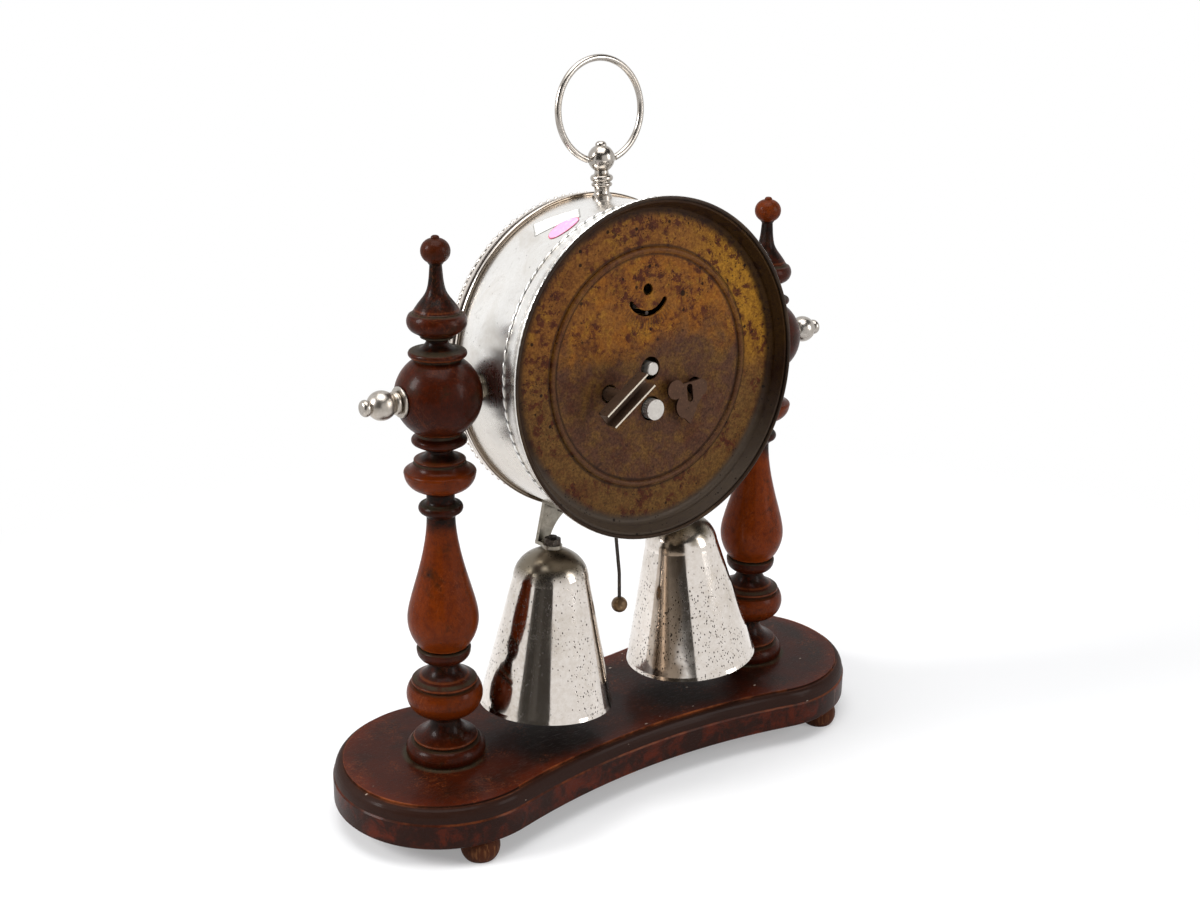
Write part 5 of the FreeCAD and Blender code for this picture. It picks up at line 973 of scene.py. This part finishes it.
# an old stock label and a round price dot on the drum's side; angles round the drum in degrees
label = {
    # the rim colours are painted shadow along each paper's edge
    "white": {"angle": 65.5, "depth": 2.2, "long": 19.0, "wide": 10.5, "turn": 34.0,
              "colour": (0.88, 0.87, 0.85), "stain": (0.74, 0.71, 0.66), "rim": (0.30, 0.29, 0.27)},
    "pink": {"angle": 62.5, "depth": 11.3, "radius": 7.2, "flat": 0.62,
             "colour": (0.78, 0.36, 0.57), "stain": (0.84, 0.55, 0.68), "rim": (0.55, 0.10, 0.16)},
    "radius": 63.2, "gap": 0.02, "thick": 0.09, "whiteSteps": (13, 7), "pinkSteps": (15, 15),
    "clouds": (0.4, 4.0, 0.6), "stainStep": (0.45, 0.75), "rimStep": (0.95, 1.02), "rimWander": 0.1,
    "fibre": (2.5, 3.0), "bumpDepth": 0.03 * mm, "roughness": (0.3, 0.7, 0.5, 0.68)}


def stuckPaper(name, paper):
    # paper with faint stains, its rim darkened as a painted shadow along the paper's edge: the piece's own
    # UV runs from -1 to 1 across it
    material, shader, p = startMaterial(name, "drumPlace")
    clouds = noise(p, *label["clouds"])
    sheet = outputsOf(addNode("ShaderNodeTexCoord", {}, material.node_tree))["UV"]
    u, v = split(vectorCalc("ABSOLUTE", sheet))[:2]
    edgeShadow = smooth(anyOf(u, v) + clouds * label["rimWander"], *label["rimStep"])
    stained = blend(smooth(clouds, *label["stainStep"]), paper["colour"], paper["stain"])
    return finishMaterial(material, shader, noise(p, *label["fibre"]), label["bumpDepth"], {
        "Base Color": blend(edgeShadow, stained, paper["rim"]),
        "Roughness": smooth(clouds, *label["roughness"])})


def squareGrid(rows, columns):
    # two arrays that run from -1 to 1, one down the rows and one along the columns
    return np.meshgrid(np.linspace(-1, 1, rows), np.linspace(-1, 1, columns), indexing="ij")


def wrapped(name, flat, lift, material):
    # flat is (round the drum, along its depth) on a grid, laid on the wall as a closed sheet
    rows, columns = flat.shape[:2]
    angle = np.radians(flat[..., 0])
    shells = []
    low = label["radius"] + label["gap"] + lift
    for radius in (low, low + label["thick"]):
        shells.append(np.stack([radius * np.cos(angle), flat[..., 1], radius * np.sin(angle)], -1))
    points = np.concatenate([shell.reshape(-1, 3) for shell in shells])
    index = np.arange(rows * columns).reshape(rows, columns)
    quads = np.stack([index[:-1, :-1], index[1:, :-1], index[1:, 1:], index[:-1, 1:]], -1).reshape(-1, 4)
    edge = np.concatenate([index[0, :-1], index[:-1, -1], index[-1, :0:-1], index[:0:-1, 0]])
    after = np.roll(edge, -1)
    top = rows * columns
    sides = np.stack([edge, edge + top, after + top, after], -1)
    faces = np.concatenate([quads, quads[:, ::-1] + top, sides])
    piece = makePiece(name, fromDrum(points), faces.tolist(), material)
    corner = np.empty(len(piece.data.loops), int)
    piece.data.loops.foreach_get("vertex_index", corner)
    place = np.stack(squareGrid(rows, columns), -1).reshape(-1, 2)[corner % top]
    piece.data.uv_layers.new(name="sheet").data.foreach_set("uv", place.ravel())


def makeLabels():
    perDegree = math.radians(1) * label["radius"]
    white, pink = label["white"], label["pink"]
    u, v = squareGrid(*label["whiteSteps"])
    a, b = u * white["long"] / 2, v * white["wide"] / 2
    c, s = math.cos(math.radians(white["turn"])), math.sin(math.radians(white["turn"]))
    flat = np.stack([white["angle"] + (a * c - b * s) / perDegree, white["depth"] + a * s + b * c], -1)
    wrapped("stock_label", flat, 0.0, stuckPaper("labelPaper", white))
    # a square grid drawn out to a disc: u times the root of 1 - v * v / 2, and v likewise
    u, v = squareGrid(*label["pinkSteps"])
    x, y = u * np.sqrt(1 - v ** 2 / 2), v * np.sqrt(1 - u ** 2 / 2)
    flat = np.stack([pink["angle"] + x * pink["radius"] / perDegree,
                     pink["depth"] + y * pink["radius"] * pink["flat"]], -1)
    wrapped("price_dot", flat, label["thick"] + label["gap"], stuckPaper("dotPaper", pink))


makeLabels()
print("labels stuck")

# floor, light and camera
studio = {
    "floor": {"Base Color": (0.93, 0.93, 0.935), "Roughness": 0.95, "Specular IOR Level": 0.1},
    "floorSize": 16.0, "paper": (0.20, 0.42), "nearWhite": 0.28, "paperLong": 0.8,
    "grey": (0.60, 0.61, 0.63), "strength": 0.42,
    "screen": {"radius": 1.7, "height": 1.9, "from": 8.0, "to": 62.0, "steps": 13},
    "cloth": ((0.055, 0.048, 0.040), (0.19, 0.175, 0.155)), "folds": ((2.4, 3.0), (0.45, 0.65)),
    "foldsDrawn": (1.0, 1.0, 0.12), "clothRoughness": 0.9,
    "ceiling": {"half": 2.7, "back": -0.2, "front": 2.7}}
lamps = {       # place, the point it faces, size, power
    "soft_left": ((1.0, -0.30, 0.72), (0.0, 0.0, 0.15), (0.35, 0.45), 11.0),
    "soft_top": ((0.1, 0.1, 1.3), (0.0, 0.0, 0.1), (1.0, 1.0), 13.0),
    "soft_right": ((-0.65, 0.95, 0.55), (0.0, 0.0, 0.12), (0.4, 0.7), 5.0)}
view = {"place": (0.345797, 0.468376, 0.340053), "right": (-0.811619, 0.584012, 0.014325),
        "up": (-0.179367, -0.272459, 0.945301), "forward": (-0.555970, -0.764654, -0.325885),
        "lens": 45.07, "sensor": 36.0, "clip": (0.01, 50.0)}


def seenWhite(tree, lit, white, share=1.0):
    # a lit surface for the light, plain white for the camera and for what metal and glass show
    rays = outputsOf(addNode("ShaderNodeLightPath", {}, tree))
    seen = anyOf(*[rays["Is " + kind + " Ray"] for kind in ("Camera", "Glossy", "Transmission")])
    inputs = {0: seen * share, 1: Field(lit.outputs[0]), 2: Field(white.outputs[0])}
    return Field(addNode("ShaderNodeMixShader", inputs).outputs[0])


def makeSheet(name, foot, head, material, seenBy):
    # a sheet of the stage between two rows of points, seen only by the kinds of rays named
    count = len(foot)
    left = np.arange(count - 1)
    faces = np.stack([left, left + 1, left + 1 + count, left + count], -1)
    sheet = makeSurface(name, np.concatenate([foot, head]), faces.tolist(), material)
    for kind in ("camera", "diffuse", "glossy", "transmission", "shadow"):
        setattr(sheet, "visible_" + kind, kind in seenBy)


def floorPaper(name):
    # lit paper near the object, so that its shadow shows, fading to white further out
    material, shader, point = newMaterial(name)
    tree = material.node_tree
    feedAll(shader, studio["floor"])
    x, y, z = split(point)
    away = lengthOf(x * studio["paperLong"], y, 0.0)
    white = addNode("ShaderNodeEmission", {"Color": (1.0, 1.0, 1.0), "Strength": 1.0}, tree)
    share = smooth(away, *studio["paper"], studio["nearWhite"], 1.0)
    feed(tree.nodes["Material Output"].inputs["Surface"], seenWhite(tree, shader, white, share))
    return material


def darkCloth(name):
    material, shader, point = newMaterial(name)
    folds = patches(stretched(point, studio["foldsDrawn"]), studio["folds"])
    feedAll(shader, {"Base Color": blend(folds, *studio["cloth"]),
                     "Roughness": studio["clothRoughness"]})
    return material


def makeWorld():
    world = bpy.data.worlds.new("studio")
    world.use_nodes = True
    bpy.context.scene.world = world
    tree = world.node_tree
    room = tree.nodes["Background"]
    feedAll(room, {0: studio["grey"], 1: studio["strength"]})
    white = addNode("ShaderNodeBackground", {"Color": (1.0, 1.0, 1.0), "Strength": 1.0}, tree)
    feed(tree.nodes["World Output"].inputs[0], seenWhite(tree, room, white))


def makeStage():
    half = studio["floorSize"] / 2
    makeSheet("floor", [(-half, -half, 0), (half, -half, 0)], [(-half, half, 0), (half, half, 0)],
              floorPaper("floorPaper"), ("camera", "diffuse", "glossy", "transmission", "shadow"))
    # the dark side of the room, a bent screen and a ceiling that only show in the polished metal
    screen, over = studio["screen"], studio["ceiling"]
    turn = np.radians(np.linspace(screen["from"], screen["to"], screen["steps"]))
    foot = screen["radius"] * np.stack([np.cos(turn), np.sin(turn), 0 * turn], -1)
    cloth = darkCloth("darkCloth")
    makeSheet("dark_screen", foot, foot + [0, 0, screen["height"]], cloth, ("glossy",))
    rows = [[(side * over["half"], over[end], screen["height"]) for side in (-1, 1)]
            for end in ("back", "front")]
    makeSheet("dark_ceiling", *rows, cloth, ("glossy",))
    makeWorld()


def makeLamp(name, place, aim, size, power):
    lamp = bpy.data.lights.new(name, "AREA")
    lamp.shape = "RECTANGLE"
    lamp.size, lamp.size_y = size
    lamp.energy = power
    stand = putIn(name, lamp)
    stand.visible_camera = False
    way = Vector(aim) - Vector(place)
    stand.matrix_world = Matrix.Translation(place) @ way.to_track_quat("-Z", "Y").to_matrix().to_4x4()


def makeCamera():
    camera = bpy.data.cameras.new("camera")
    camera.lens = view["lens"]
    camera.sensor_width = view["sensor"]
    camera.clip_start, camera.clip_end = view["clip"]
    stand = putIn("camera", camera)
    turn = Matrix((view["right"], view["up"], [-value for value in view["forward"]])).transposed()
    stand.matrix_world = Matrix.Translation(view["place"]) @ turn.to_4x4()
    bpy.context.scene.camera = stand


makeStage()
for name, settings in lamps.items():
    makeLamp(name, *settings)
makeCamera()
bpy.context.scene.view_settings.view_transform = "Standard"
print("stage set")
